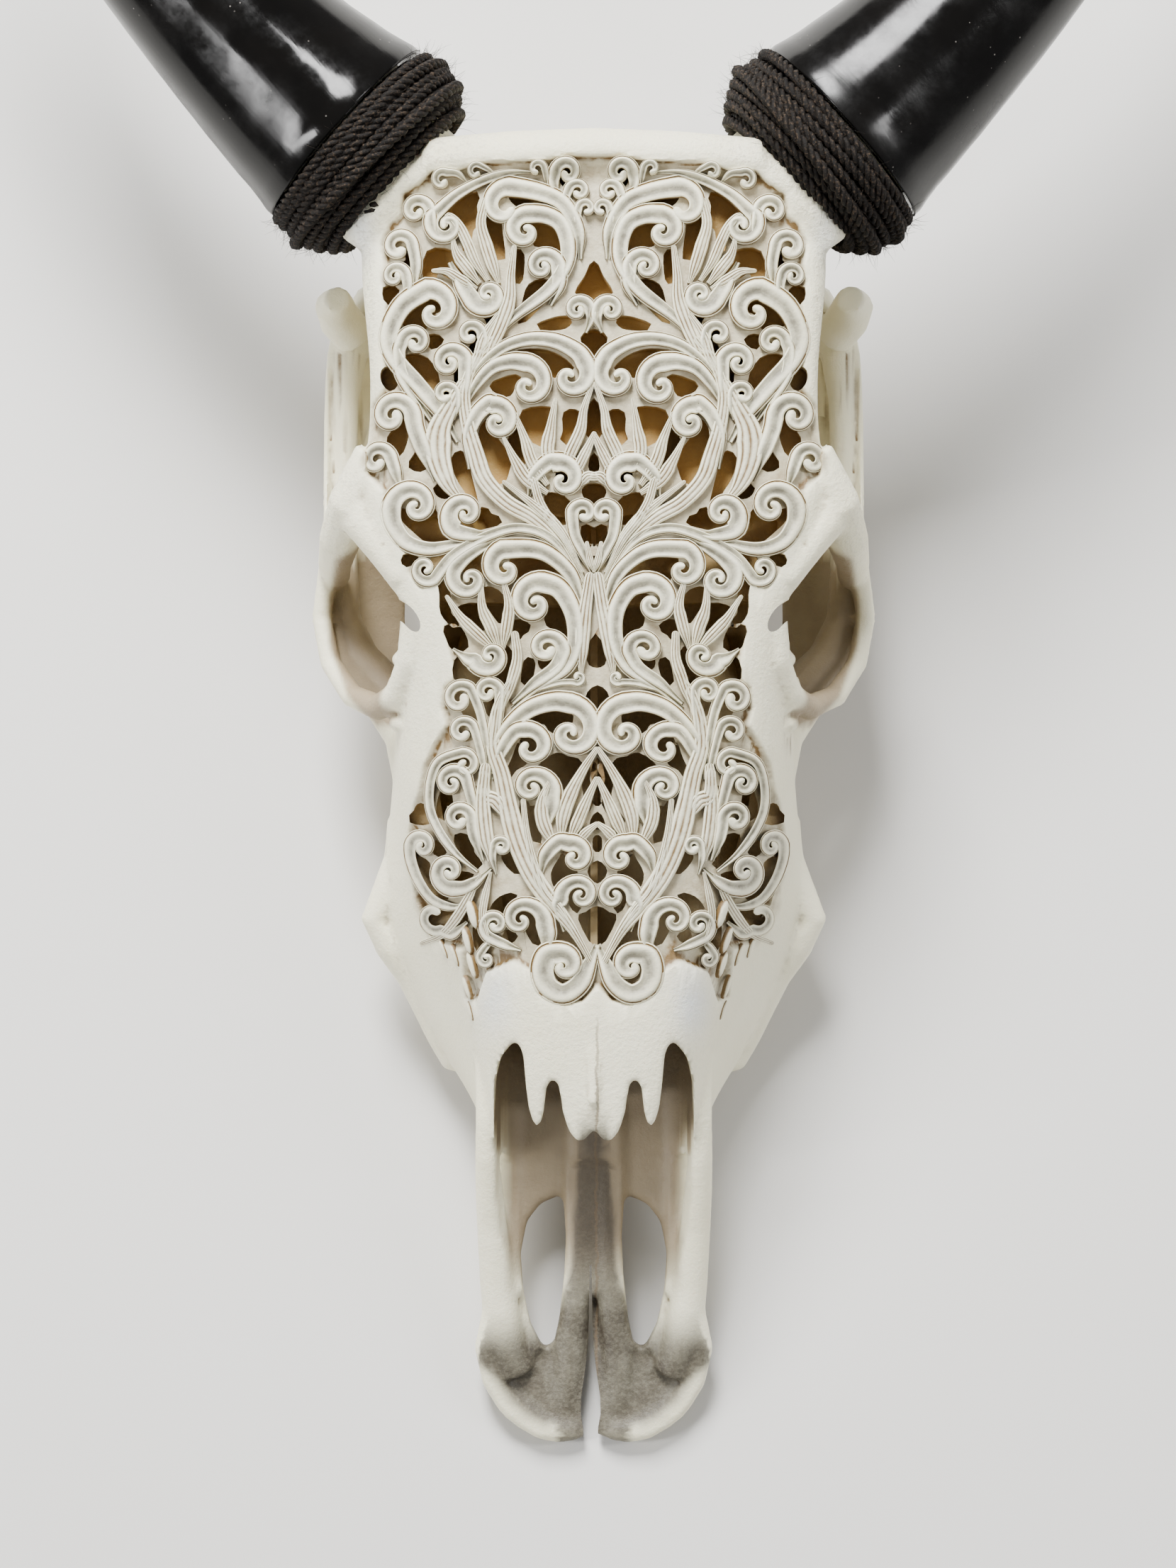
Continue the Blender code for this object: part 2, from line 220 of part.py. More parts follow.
# Openings right through the bone, as outlines
HOLES = (
    ((-54.5, 210.5), (-49, 214.5), (-43.5, 217), (-44.5, 213), (-44, 207), (-46, 203.5), (-46.5, 196),
     (-47.5, 201), (-49, 206),
     (-51.5, 209)),
    ((-39.5, 208), (-36, 208.5), (-35, 203), (-34, 193.5), (-36.5, 197), (-39.5, 202.5)),
    ((-60.5, 195.5), (-53, 195.5), (-52.5, 191.5), (-49, 186.5), (-53, 187.5), (-57.5, 190), (-60, 186),
     (-61.5, 187)),
    ((-30, 217), (-25, 217), (-19, 214.5), (-24, 213.2), (-28, 214)),
    ((-26, 205), (-18.5, 206.5), (-13.5, 201), (-12.5, 196.5), (-16, 199), (-21, 199), (-22, 203.5)),
    ((-29.5, 195), (-27, 194.5), (-27.5, 186), (-29, 186.5)),
    ((-20, 168.3), (-14, 170.5), (-9.5, 170.8), (-11, 168.8), (-16, 168.2)),
    ((-23, 183), (-17.3, 184.5), (-18, 179.5), (-22, 175), (-27, 170.5), (-25, 177)),
    ((-35, 177.5), (-34, 172), (-36.5, 167), (-38.5, 171), (-40, 173.5), (-38, 174.5)),
    ((-70, 171), (-66, 174.5), (-61, 177), (-57, 175.5), (-60, 174), (-62.5, 171), (-62.5, 168.8),
     (-66, 169)),
    ((-68, 196.5), (-66.5, 194), (-67.5, 189.5), (-69.5, 191), (-68, 193)),
    ((-76.5, 182.5), (-73, 182), (-75.5, 178)),
    ((-11.5, 225.5), (-9.5, 225), (-9.5, 221), (-11, 222)),
    ((-69, 157), (-62, 156), (-58, 148), (-62, 142.5), (-65, 145), (-68, 152)),
    ((-60, 164.5), (-56.5, 163.5), (-59.5, 161.5)),
    ((-77, 152), (-75, 152.5), (-73.5, 148.5), (-75, 146.5), (-77, 149)),
    ((-54, 156), (-51, 157), (-49.5, 155), (-49, 150), (-49.2, 141), (-50.2, 138), (-50, 148),
     (-50.6, 154.5)),
    ((-58, 144.5), (-54.5, 144.5), (-54.5, 142.5), (-57, 141), (-57.5, 138.5), (-59, 141.5)),
    ((-48, 168), (-44, 167.5), (-42.2, 165), (-43.5, 157.5), (-44.8, 159.5), (-43.5, 164)),
    ((-29, 158), (-20, 158.8), (-13, 156.5), (-8.5, 152.5), (-11, 152.8), (-14.5, 150.8), (-17, 153.5),
     (-21, 156)),
    ((-37, 146.5), (-34, 148), (-31, 149), (-28, 149.3), (-30, 147), (-31.5, 144), (-34, 144.5)),
    ((-25.5, 136.5), (-16.5, 137.5), (-16.5, 133.5), (-19.8, 125.5), (-24.5, 131.5)),
    ((-10, 136), (-6, 136), (-6, 132), (-11, 126), (-10, 130)),
    ((-40.5, 131), (-38.5, 133), (-38.5, 129), (-36, 126), (-32, 120), (-32.5, 115.5), (-34, 112),
     (-37, 113), (-39.5, 118),
     (-41, 126)),
    ((-30.5, 126), (-28, 130), (-27, 126), (-26.5, 119), (-27.5, 118.5), (-29, 123.5)),
    ((-51, 120), (-48, 121), (-46.5, 114), (-44.5, 106), (-43.5, 101), (-45.5, 107), (-49.5, 113.5)),
    ((-73.5, 129.5), (-70.5, 133.5), (-69.8, 128), (-72.3, 122), (-75, 126.5)),
    ((-63, 124), (-62.5, 117), (-67, 117.5), (-65, 121)),
    ((-57.5, 109.5), (-53, 107.5), (-55, 106.5), (-57, 107.5)),
    ((-17, 104.5), (-15.5, 106), (-10, 103.5), (-10.5, 96.5), (-13.5, 99)),
    ((-12.5, 114.5), (-10, 114), (-9.5, 111), (-11.5, 109.5), (-12.5, 112)),
    ((-70.5, 101.5), (-69, 99), (-64, 97.8), (-59.5, 101), (-58.3, 96), (-52.5, 90.8), (-60, 90),
     (-66, 94.5), (-69.5, 98)),
    ((-48.5, 100), (-47.5, 97), (-44, 95), (-40, 95.5), (-35, 97), (-38.5, 98.5), (-40.5, 101),
     (-41.5, 97), (-45, 97.5)),
    ((-47, 79), (-45, 82.5), (-40, 86), (-37, 88), (-36.5, 85), (-39, 82), (-40.8, 77), (-42, 78.5),
     (-45, 78.5)),
    ((-69.5, 83.5), (-66, 83.5), (-69, 81.5)),
    ((-59, 83), (-54, 83.3), (-57, 79.5), (-60, 77.3), (-63.5, 77.5), (-62, 79), (-58.7, 80)),
    ((-30, 82), (-23, 83), (-16, 81), (-9.5, 76), (-14, 76.5), (-20, 78), (-26, 75.5), (-28, 78.5)),
    ((-34.5, 77), (-32.5, 76.3), (-31.5, 79), (-33, 79.5)),
    ((-39, 71.5), (-34.5, 69), (-33.5, 61), (-35, 61.5), (-40, 69.5)),
    ((-50, 64), (-43.5, 65.5), (-41.5, 61), (-41.5, 57.5), (-43, 58.5), (-46, 61.5)),
    ((-56, 74), (-54.3, 70), (-54, 63), (-51, 59.5), (-51.8, 59.6), (-55.1, 63.5), (-55.4, 70)),
    ((-54, 57.5), (-50, 57), (-47.5, 51), (-51.5, 51), (-53, 54)),
    ((-22, 67.5), (-17, 69), (-12.5, 66), (-8.7, 61), (-8.8, 54), (-9.7, 51), (-11, 56), (-16.5, 59.3),
     (-16.8, 64), (-19, 67)),
    ((-28.8, 59.5), (-24.5, 58), (-27, 56), (-28.3, 54.5)),
    ((-34.5, 50.5), (-31, 48), (-30.5, 41), (-32.3, 36), (-35.5, 41), (-33, 45)),
    ((-49, 47), (-43.5, 41.5), (-44.5, 38), (-50.5, 39.8)),
    ((-24.5, 45), (-23, 44.5), (-24, 39), (-25.5, 38)),
    ((-19.5, 46), (-17, 46), (-18.5, 43)),
    ((-50, 32.5), (-48.5, 32), (-45.5, 28.5), (-43, 25), (-43.2, 22), (-46.5, 25.5), (-48.5, 30)),
    ((-41, 36), (-38.5, 36.3), (-36.3, 33.5), (-36.7, 30), (-38, 26), (-39, 30.5), (-37.5, 31.5),
     (-38, 34.5)),
    ((-27, 25.5), (-20, 27), (-12, 25.8), (-10, 24), (-13.5, 23), (-15.8, 20.3), (-18, 23.3), (-23, 24.3)),
    ((-26, 15), (-25, 17), (-22, 17), (-19.5, 14.5), (-20.5, 12), (-23, 12.5), (-24.5, 14)),
    ((-32, 3), (-29, 9), (-27, 14.5), (-26.3, 13), (-27, 10), (-25.8, 8.5), (-29.5, 6.3)),
    ((-19.5, 6.5), (-14.5, 10.3), (-11, 9), (-6.8, 7.5), (-8.8, 0), (-12, -4.5), (-13.8, 0), (-16.5, 4)),
    ((-2.2, 7), (-4.5, 2), (-3.8, -5.5), (-8.5, -13), (-8, -13.5), (-2.8, -6.5), (-3.3, 2), (-1.4, 6)),
    ((-26, -7), (-24, -9.3), (-21.2, -9.5), (-21, -15), (-21, -21), (-22.3, -17.5), (-25.5, -15.5)),
    ((-26.8, -17), (-25.8, -17), (-23.3, -25), (-21.7, -31), (-17, -40), (-18, -39.5), (-22.8, -31.5),
     (-24.5, -25)),
    ((-33, -25.8), (-29.5, -27.8), (-27.8, -32), (-31, -29.5)),
    ((-50.5, -19.5), (-46.3, -20.5), (-45.5, -25.5), (-42.5, -29.5), (-45.5, -29), (-49, -24)),
    ((-59, -22), (-56, -25.5), (-58.5, -25)),
    ((-66, -28.5), (-62.5, -30), (-62.6, -33.5), (-60, -37.5), (-55, -40.7), (-56, -41.6), (-61.5, -38.8),
     (-65, -33)),
    ((-56.3, -30), (-55.3, -30.5), (-55, -33.3), (-50.5, -33.5), (-45.5, -34), (-49, -35.6),
     (-53.5, -35.5), (-56.4, -33)),
    ((-60, -47), (-53.5, -47), (-54.5, -50), (-57, -52.5), (-60.5, -53), (-62.5, -51.5), (-59, -50.5)),
    ((-65, -8.5), (-63.5, -9), (-62, -13.5), (-68, -13), (-66, -10.5)),
    ((-55, -2), (-53.5, -6.3), (-55.5, -7), (-56.5, -12.5), (-57, -8)),
    ((-55.5, 9.3), (-51, 11.5), (-47, 10.5), (-48.7, 8), (-49, 5.2), (-50.5, 7.8)),
    ((-45, -2.7), (-41.5, -2), (-41.3, -8), (-43, -4)),
    ((-14, -37.5), (-15.2, -33), (-12.8, -28), (-11, -25), (-10.8, -29), (-10, -31.5), (-8, -32.5),
     (-12, -34)),
    ((-12, -25.2), (-9, -23.8), (-6.6, -25.5), (-6.5, -28.5), (-8, -29), (-7.3, -26.5), (-9, -25)),
    ((-7.5, -46), (-9.2, -43), (-8.8, -39.3), (-6, -37.8), (-3.2, -39.3), (-3.5, -41.5), (-4.8, -39.7),
     (-7.3, -40), (-7.5, -43)),
    ((-15.5, -50.5), (-12.5, -52.5), (-8, -57.5), (-5.5, -64), (-5.8, -69), (-7.8, -71.5), (-7.3, -65.5),
     (-9.5, -60.5),
     (-15, -59), (-15.3, -54)),
    ((-12, -66.5), (-14.2, -68), (-13, -71.5), (-10, -73), (-7.5, -71.8), (-10.5, -71.5), (-12.5, -70),
     (-13, -68)),
    ((-37, -46), (-34, -42.5), (-29.5, -41.3), (-33, -44.3), (-35, -47.3)),
    ((-28.7, -48.5), (-26, -47), (-23.5, -49), (-21.5, -53), (-21, -58.5), (-23.5, -54.5), (-24.5, -51),
     (-26, -49.5),
     (-28, -50.5)),
    ((-32, -55), (-29.5, -56), (-32, -57.5)),
    ((-42.8, -48), (-42, -48), (-41.7, -53), (-39.8, -58), (-42.5, -61), (-43.6, -55)),
    ((-49.5, -47), (-48.3, -46), (-48.3, -52), (-49.5, -55), (-50.8, -51)),
    ((-54, -71.7), (-50, -71.7), (-51.5, -74), (-53.5, -74)),
    ((-44.5, -77), (-39, -77.3), (-41.5, -81.5)),
)

# Openings on the middle line
MIDDLE_HOLES = (
    ((0, 191.5), (-2.5, 186.5), (-6, 180.8), (-2.5, 180), (0, 176.8), (2.5, 180), (6, 180.8), (2.5, 186.5)),
    ((0, 166.5), (-4, 164), (-2, 160.5), (0, 156), (2, 160.5), (4, 164)),
    ((0, 141), (-1.5, 135), (-2, 129), (0, 128.5), (2, 129), (1.5, 135)),
    ((0, 121), (-1, 117), (0, 115), (1, 117)),
    ((-3.5, 107.5), (-2, 109.5), (2, 109.5), (3.5, 107.5), (1.5, 104.5), (-1.5, 104.5)),
    ((-3.8, 94.5), (-3.2, 87), (-1, 89.5), (0, 88.5), (1, 89.5), (3.2, 87), (3.8, 94.5), (0, 93.5)),
    ((0, 83), (-1.2, 82), (0, 76.5), (1.2, 82)),
    ((0, 54.5), (-2.6, 46), (0, 44), (2.6, 46)),
    ((0, 35.5), (-3.4, 32), (0, 27.2), (3.4, 32)),
    ((0, 9), (-1.7, 2), (0, -0.5), (1.7, 2)),
    ((-0.6, -3), (0.6, -3), (0.6, -6.5), (-0.6, -6.5)),
    ((0, -11), (-1.8, -14.5), (0, -15.5), (1.8, -14.5)),
    ((-0.6, -20), (0.6, -20), (0.6, -23.5), (-0.6, -23.5)),
    ((0, -29), (-2.6, -32), (0, -35.5), (2.6, -32)),
    ((-6, -49.5), (-4, -48), (0, -45.8), (4, -48), (6, -49.5), (0, -59.2)),
)


def clear_scene():
    for obj in list(bpy.data.objects):
        bpy.data.objects.remove(obj)


def collection(name):
    made = bpy.data.collections.new(name)
    bpy.context.scene.collection.children.link(made)
    return made


def material(name, colour, roughness):
    made = bpy.data.materials.new(name)
    made.use_nodes = True
    shader = made.node_tree.nodes["Principled BSDF"]
    shader.inputs["Base Color"].default_value = colour
    shader.inputs["Roughness"].default_value = roughness
    return made


def mesh_object(name, mesh, into):
    made = bpy.data.objects.new(name, mesh)
    into.objects.link(made)
    return made


def bm_object(name, bm, into):
    bmesh.ops.remove_doubles(bm, verts=bm.verts, dist=1e-6)
    bmesh.ops.recalc_face_normals(bm, faces=bm.faces)
    mesh = bpy.data.meshes.new(name)
    bm.to_mesh(mesh)
    bm.free()
    return mesh_object(name, mesh, into)


def loft(name, rings, into, mirrored=False):
    """A closed body through rings of points, with flat ends. Mirrored rings are half sections at X >= 0."""
    bm = bmesh.new()
    loops = []
    for ring in rings:
        points = list(ring)
        if mirrored:
            points += [(-x, y, z) for x, y, z in reversed(ring[1:-1])]
        loops.append([bm.verts.new(p) for p in points])
    for one, two in zip(loops, loops[1:]):
        count = len(one)
        for i in range(count):
            j = (i + 1) % count
            bm.faces.new((one[i], one[j], two[j], two[i]))
    for end in (loops[0], loops[-1]):
        centre = sum((v.co for v in end), Vector()) / len(end)
        hub = bm.verts.new(centre)
        for i in range(len(end)):
            bm.faces.new((end[i], end[(i + 1) % len(end)], hub))
    return bm_object(name, bm, into)


def section_rings(sections):
    return [[(x * MM, y * MM, z * MM) for x, z in points] for y, *points in sections]


def smooth(obj, levels):
    subdivide = obj.modifiers.new("Smooth", "SUBSURF")
    subdivide.levels = levels
    subdivide.render_levels = levels
    return obj


def tube(name, spine, into, sides=12):
    """A round tapering bone along (x, y, z, radius) points in millimetres, with domed ends."""
    points = [Vector(p[:3]) * MM for p in spine]
    radii = [p[3] * MM for p in spine]
    rings = []
    across = Vector((0, 0, 1))
    for i, point in enumerate(points):
        ahead = (points[min(i + 1, len(points) - 1)] - points[max(i - 1, 0)]).normalized()
        side = ahead.cross(across)
        if side.length < 0.2:
            side = ahead.cross(Vector((1, 0, 0)))
        side.normalize()
        up = side.cross(ahead)
        turn = [2 * math.pi * k / sides for k in range(sides)]
        rings.append([tuple(point + radii[i] * (side * math.cos(a) + up * math.sin(a))) for a in turn])
    return loft(name, rings, into)


def mirrored_tube(name, spine, into, sides=12):
    for side in (1, -1):
        tube(name, [(side * x, y, z, r) for x, y, z, r in spine], into, sides)


def ellipsoid(name, centre, radii, into, turn=(0, 0, 0), sides=20):
    bm = bmesh.new()
    bmesh.ops.create_uvsphere(bm, u_segments=sides, v_segments=sides // 2, radius=1)
    place = Matrix.Translation(Vector(centre) * MM)
    for axis, angle in zip("ZYX", reversed(turn)):
        place = place @ Matrix.Rotation(math.radians(angle), 4, axis)
    bm.transform(place @ Matrix.Diagonal((*(r * MM for r in radii), 1)))
    return bm_object(name, bm, into)


def mirrored_ellipsoid(name, centre, radii, into, turn=(0, 0, 0), sides=20):
    x, y, z = centre
    around_x, around_y, around_z = turn
    ellipsoid(name, centre, radii, into, turn, sides)
    ellipsoid(name, (-x, y, z), radii, into, (around_x, -around_y, -around_z), sides)


def prism(name, outline, low, high, into):
    """An upright block over an outline of (x, y) millimetres, between two depths in millimetres."""
    bm = bmesh.new()
    base = [bm.verts.new((x * MM, y * MM, low * MM)) for x, y in outline]
    made = bmesh.ops.extrude_face_region(bm, geom=[bm.faces.new(base)])["geom"]
    lifted = [v for v in made if isinstance(v, bmesh.types.BMVert)]
    bmesh.ops.translate(bm, verts=lifted, vec=(0, 0, (high - low) * MM))
    return bm_object(name, bm, into)


def mirrored_prism(name, outline, low, high, into):
    prism(name, outline, low, high, into)
    prism(name, [(-x, y) for x, y in reversed(outline)], low, high, into)


def frozen(obj, into):
    """The evaluated mesh of an object as a new object with no modifiers."""
    graph = bpy.context.evaluated_depsgraph_get()
    mesh = bpy.data.meshes.new_from_object(obj.evaluated_get(graph))
    made = mesh_object(obj.name, mesh, into)
    made.matrix_world = obj.matrix_world
    bpy.data.objects.remove(obj)
    return made


def joined(name, source, into):
    """Every object of a collection in one mesh, left as overlapping closed bodies."""
    bm = bmesh.new()
    graph = bpy.context.evaluated_depsgraph_get()
    for obj in list(source.objects):
        mesh = bpy.data.meshes.new_from_object(obj.evaluated_get(graph))
        bm.from_mesh(mesh)
        bpy.data.objects.remove(obj)
        bpy.data.meshes.remove(mesh)
    mesh = bpy.data.meshes.new(name)
    bm.to_mesh(mesh)
    bm.free()
    return mesh_object(name, mesh, into)


def fuse(obj, voxel):
    remesh = obj.modifiers.new("Fuse", "REMESH")
    remesh.mode = "VOXEL"
    remesh.voxel_size = voxel
    remesh.use_smooth_shade = True


def soften(obj, factor, rounds):
    ease = obj.modifiers.new("Soften", "SMOOTH")
    ease.factor = factor
    ease.iterations = rounds


def cut(obj, cutter):
    boolean = obj.modifiers.new("Cut " + cutter.name, "BOOLEAN")
    boolean.operation = "DIFFERENCE"
    boolean.object = cutter


def helper(obj):
    obj.hide_render = True
    obj.display_type = "WIRE"
    return obj


def bone_masses(into):
    """The solid bones that the skull is grown from, as overlapping bodies."""
    smooth(loft("braincase", section_rings(SECTIONS), into, mirrored=True), 2)
    mirrored_tube("cheek_root", [(65, 6, -62, 12.5), (69, 22, -68, 12), (76, 36, -72, 10)], into)
    # Poll ridge between the horns
    tube("poll_ridge", [(-62, 229, -12, 10), (-30, 231, -10, 10.5), (0, 232, -9, 10.5), (30, 231, -10, 10.5),
                        (62, 229, -12, 10)], into)
    # Horn stalks
    for side in (1, -1):
        start, heading = horn_root(side)
        inner = start - heading * 34 * MM
        spine = [(*(inner / MM), 27), (*((start - heading * 14 * MM) / MM), 33), (*(start / MM), CORE_RADIUS / MM),
                 (*((start + heading * 26 * MM) / MM), CORE_RADIUS / MM), (*((start + heading * 46 * MM) / MM), 27)]
        tube("horn_stalk", spine, into, 20)
    # Back of the skull: condyles beside the foramen, and the long processes beside them
    mirrored_ellipsoid("condyle", (22, 236, -140), (15, 17, 22), into, turn=(0, -20, 0))
    mirrored_tube("occipital_process", [(48, 208, -110, 15), (49, 206, -138, 12), (46, 203, -158, 9), (44, 201, -176, 7)],
                  into)
    mirrored_ellipsoid("ear_bulla", (50, 176, -124), (14, 20, 18), into)
    mirrored_tube("pterygoid", [(24, 60, -104, 7), (25, 76, -116, 5), (23, 92, -122, 4)], into)
    # Snout: side bars from the upper jaw to the incisive bones, which spread into two flat paddles
    mirrored_tube("snout_bar", [(39, -100, -44, 6), (38.5, -134, -51, 6.2), (38, -166, -57, 6.4), (36, -192, -61, 6.8),
                                (34, -211, -65, 7.6), (29, -225, -69, 7)], into)
    mirrored_tube("snout_keel", [(4.6, -118, -68, 6), (4.8, -156, -66, 6), (5.8, -184, -65, 5.8), (7.8, -204, -67, 6),
                                 (11, -222, -70, 6), (12.5, -238, -72, 4)], into)
    shelf = ((0, -130), (41, -130), (41, -170), (39, -200), (33, -214), (25, -219), (14, -213), (0, -178))
    mirrored_prism("palate_shelf", shelf, -76, -66, into)
    plate = ((37, -190), (39.5, -203), (43.3, -213), (44.8, -220), (42.2, -230), (36.5, -239.5), (29, -246.5), (20.5, -251),
             (13, -252.6), (7.5, -251.5), (5, -244), (3.8, -234), (2.6, -221), (1.0, -208), (0.8, -192))
    mirrored_prism("incisive_plate", plate, -76, -70, into)
    mirrored_tube("plate_lip", [(38.5, -200, -62, 4.2), (41.6, -215, -65, 4.2), (38.6, -228, -68, 4.2),
                                (31, -239.5, -70, 4.4), (20, -247, -71, 4.4), (9.5, -248.6, -72, 3.8)], into)


def bone_bridges(into):
    """The free-standing bones round the eye and the temple, and the cores inside the horns."""
    # Orbit rim: a bony ring round the eye that faces out and forward
    for side in (1, -1):
        ring = []
        for k in range(13):
            turn = 2 * math.pi * k / 12
            along, up = math.cos(turn), math.sin(turn)
            out = 84.5 + 19.5 * along - 3.5 * max(0, -up) ** 2
            depth = -42 - 27 * along
            ring.append((side * out, 64 + 35 * up, depth, 5.2 - 1.4 * along))
        tube("orbit_rim", ring, into)
    # The eye's lower wall and the arch's inner face, one curved sheet from the cheek back to the jaw joint
    for side in (1, -1):
        sheet = []
        for y, edge, middle, root in ORBIT_WALL:
            path = [Vector(p) for p in (edge, ((edge[0] + middle[0]) / 2 + 1.5, (edge[1] + middle[1]) / 2 - 1.5), middle,
                                        ((root[0] + middle[0]) / 2 + 1.5, (root[1] + middle[1]) / 2 - 1.5), root)]
            under = [p + Vector((1.4, -4.6)) for p in reversed(path)]
            sheet.append([(side * p.x * MM, y * MM, p.y * MM) for p in path + under])
        smooth(loft("orbit_wall", sheet, into), 1)
    mirrored_ellipsoid("face_tuber", (80.5, -49, -72), (7.5, 9, 9), into, turn=(0, 0, 20))
    # Cheek bone below the eye, running back as the zygomatic arch to the jaw joint
    mirrored_tube("cheek_bone", [(68, 18, -66, 11), (78, 33, -72, 11), (91, 48, -78, 9), (98, 66, -82, 7)], into)
    mirrored_tube("arch", [(97, 62, -80, 7.5), (97, 90, -80, 6), (96, 120, -82, 5), (96, 148, -84, 5.5),
                           (95, 168, -86, 8), (84, 182, -88, 12), (66, 190, -90, 14)], into)
    mirrored_tube("jaw_joint_knob", [(93, 170, -74, 8), (100, 174, -66, 8.5), (101.5, 178, -58, 6.5), (98, 182, -52, 4.5)], into)
    # Brow, the frontal bone's process above and behind the eye
    mirrored_tube("brow", [(80, 122, -16, 9), (90, 104, -20, 9), (95, 92, -34, 8), (98, 84, -52, 6.5), (99, 80, -70, 6)],
                  into)


def bone_cutters(into):
    """Everything that is open in the skull, as one cutter."""
    smooth(loft("nasal_hollow", section_rings(HOLLOW), into, mirrored=True), 1)
    mirrored_ellipsoid("eye_socket", (92, 66, -50), (32, 30, 33), into, turn=(0, 35, 0))
    mirrored_ellipsoid("temple_hollow", (88, 140, -62), (26, 34, 38), into, turn=(0, 0, 0))
    mirrored_ellipsoid("temple_hollow_low", (84, 120, -100), (26, 50, 30), into)
    ellipsoid("foramen", (0, 240, -112), (15, 34, 13), into)
    ellipsoid("choana", (0, 46, -108), (17, 44, 18), into)
    # The two gaps in the palate behind the front teeth
    gap = ((11.7, -156.5), (20.3, -160), (25.6, -167), (28, -179.5), (27, -194), (24.2, -206.5), (19.3, -216),
           (15.2, -214), (13.2, -204.5), (11.3, -188), (10.6, -172))
    mirrored_prism("palate_gap", gap, -100, -30, into)
    prism("snout_slit", ((-0.7, -184), (-1, -212), (-2.6, -225), (-4, -236), (-4, -262), (4, -262), (4, -236), (2.6, -225),
                         (1, -212), (0.7, -184)), -100, -30, into)
    # The nose opening: side notches, spikes and the rounded tips of the nasal bones
    notch = ((28.9, -94), (34.5, -101), (36, -110), (36.4, -125), (36, -160), (10, -160), (0, -158), (0, -127.4),
             (2.3, -130.5), (5.5, -133.1), (9.4, -128), (11.7, -120.4), (13, -111), (15.3, -108.4), (17.4, -111),
             (18.7, -121.7), (21.3, -130.5), (24.4, -118.6), (25.7, -106), (26.3, -99))
    mirrored_prism("nose_opening", notch, -62, 20, into)


def rounded(points, each=4):
    """More points along a smooth line through the given (x, y) points."""
    line = [Vector(p) for p in points]
    ends = [2 * line[0] - line[1]] + line + [2 * line[-1] - line[-2]]
    made = []
    for a, b, c, d in zip(ends, ends[1:], ends[2:], ends[3:]):
        for k in range(each):
            t = k / each
            made.append(0.5 * (2 * b + (c - a) * t + (2 * a - 5 * b + 4 * c - d) * t * t
                               + (3 * b - a - 3 * c + d) * t ** 3))
    made.append(line[-1])
    return made


def scroll_line(stem, volute, each, per_turn):
    """A stem that runs into a shrinking volute round its eye. The second value tells where the volute starts."""
    x, y, outer, start, turn, inner = volute
    steps = max(4, int(abs(turn) / 360 * per_turn))
    curl = []
    for k in range(steps + 1):
        t = k / steps
        angle = math.radians(start + turn * t)
        reach = outer * (inner / outer) ** (t ** 1.15)
        curl.append((x + reach * math.cos(angle), y + reach * math.sin(angle)))
    stem_line = rounded(list(stem) + curl[:2], each)[:-each - 1]
    return stem_line + [Vector(p) for p in curl], len(stem_line)


def widths_along(line, shoulder, widths):
    """Width at each point: even change from the root to the shoulder, then down to the tip."""
    root, wide, tip = widths
    count = len(line)
    made = []
    for i in range(count):
        if i <= shoulder:
            share = i / max(1, shoulder)
            made.append(root + (wide - root) * share)
        else:
            share = (i - shoulder) / (count - 1 - shoulder)
            made.append(wide + (tip - wide) * share ** 0.8)
    return made


def rib(name, line, widths, ground, into):
    """A carved ribbon of bone along a line, standing a little above the face."""
    rings = []
    for i, point in enumerate(line):
        ahead = line[min(i + 1, len(line) - 1)] - line[max(i - 1, 0)]
        across = Vector((-ahead.y, ahead.x)).normalized() * widths[i] / 2
        middle = ground(point.x, point.y)
        ring = []
        for u, rise in ((-1, 0), (-0.6, 0.8), (0, 1), (0.6, 0.8), (1, 0), (0.9, None), (-0.9, None)):
            place = point + across * u
            height = middle - RIB_DEPTH if rise is None else middle + RIB_RISE * rise
            ring.append((place.x * MM, place.y * MM, height))
        rings.append(ring)
    return loft(name, rings, into)


def face_ground(bone):
    """Height of the face under a point, found by looking down on the bone."""
    tree = BVHTree.FromPolygons([v.co[:] for v in bone.data.vertices], [p.vertices[:] for p in bone.data.polygons])

    def height(x, y):
        hit = tree.ray_cast(Vector((x * MM, y * MM, 0.1)), Vector((0, 0, -1)))[0]
        return hit.z if hit else 0.0

    return height


def outline_area(outline):
    pairs = zip(outline, outline[1:] + outline[:1])
    return abs(sum(a[0] * b[1] - b[0] * a[1] for a, b in pairs)) / 2


def carved_openings(ground, into):
    """The openings of the pattern that are big enough to matter, through the front of the bone."""
    for outline in HOLES:
        if outline_area(outline) > SMALLEST_OPENING:
            depth = ground(*outline[0]) / MM
            mirrored_prism("opening", outline, depth - 16, depth + 12, into)
    for outline in MIDDLE_HOLES:
        if outline_area(outline) > SMALLEST_OPENING:
            prism("opening", outline, -20, 12, into)


def carved_ribs(ground, into):
    """Scrolls, stems and leaves of the pattern on both halves of the face."""
    for stem, volute, widths in SCROLLS:
        line, shoulder = scroll_line(stem, volute, 3, 14)
        along = widths_along(line, shoulder, widths)
        rib("scroll", line, along, ground, into)
        rib("scroll", [Vector((-p.x, p.y)) for p in line], along, ground, into)
    for points, widths in BLADES:
        line = rounded(points, 3)
        along = widths_along(line, len(line) // 2, widths)
        rib("leaf", line, along, ground, into)
        rib("leaf", [Vector((-p.x, p.y)) for p in line], along, ground, into)


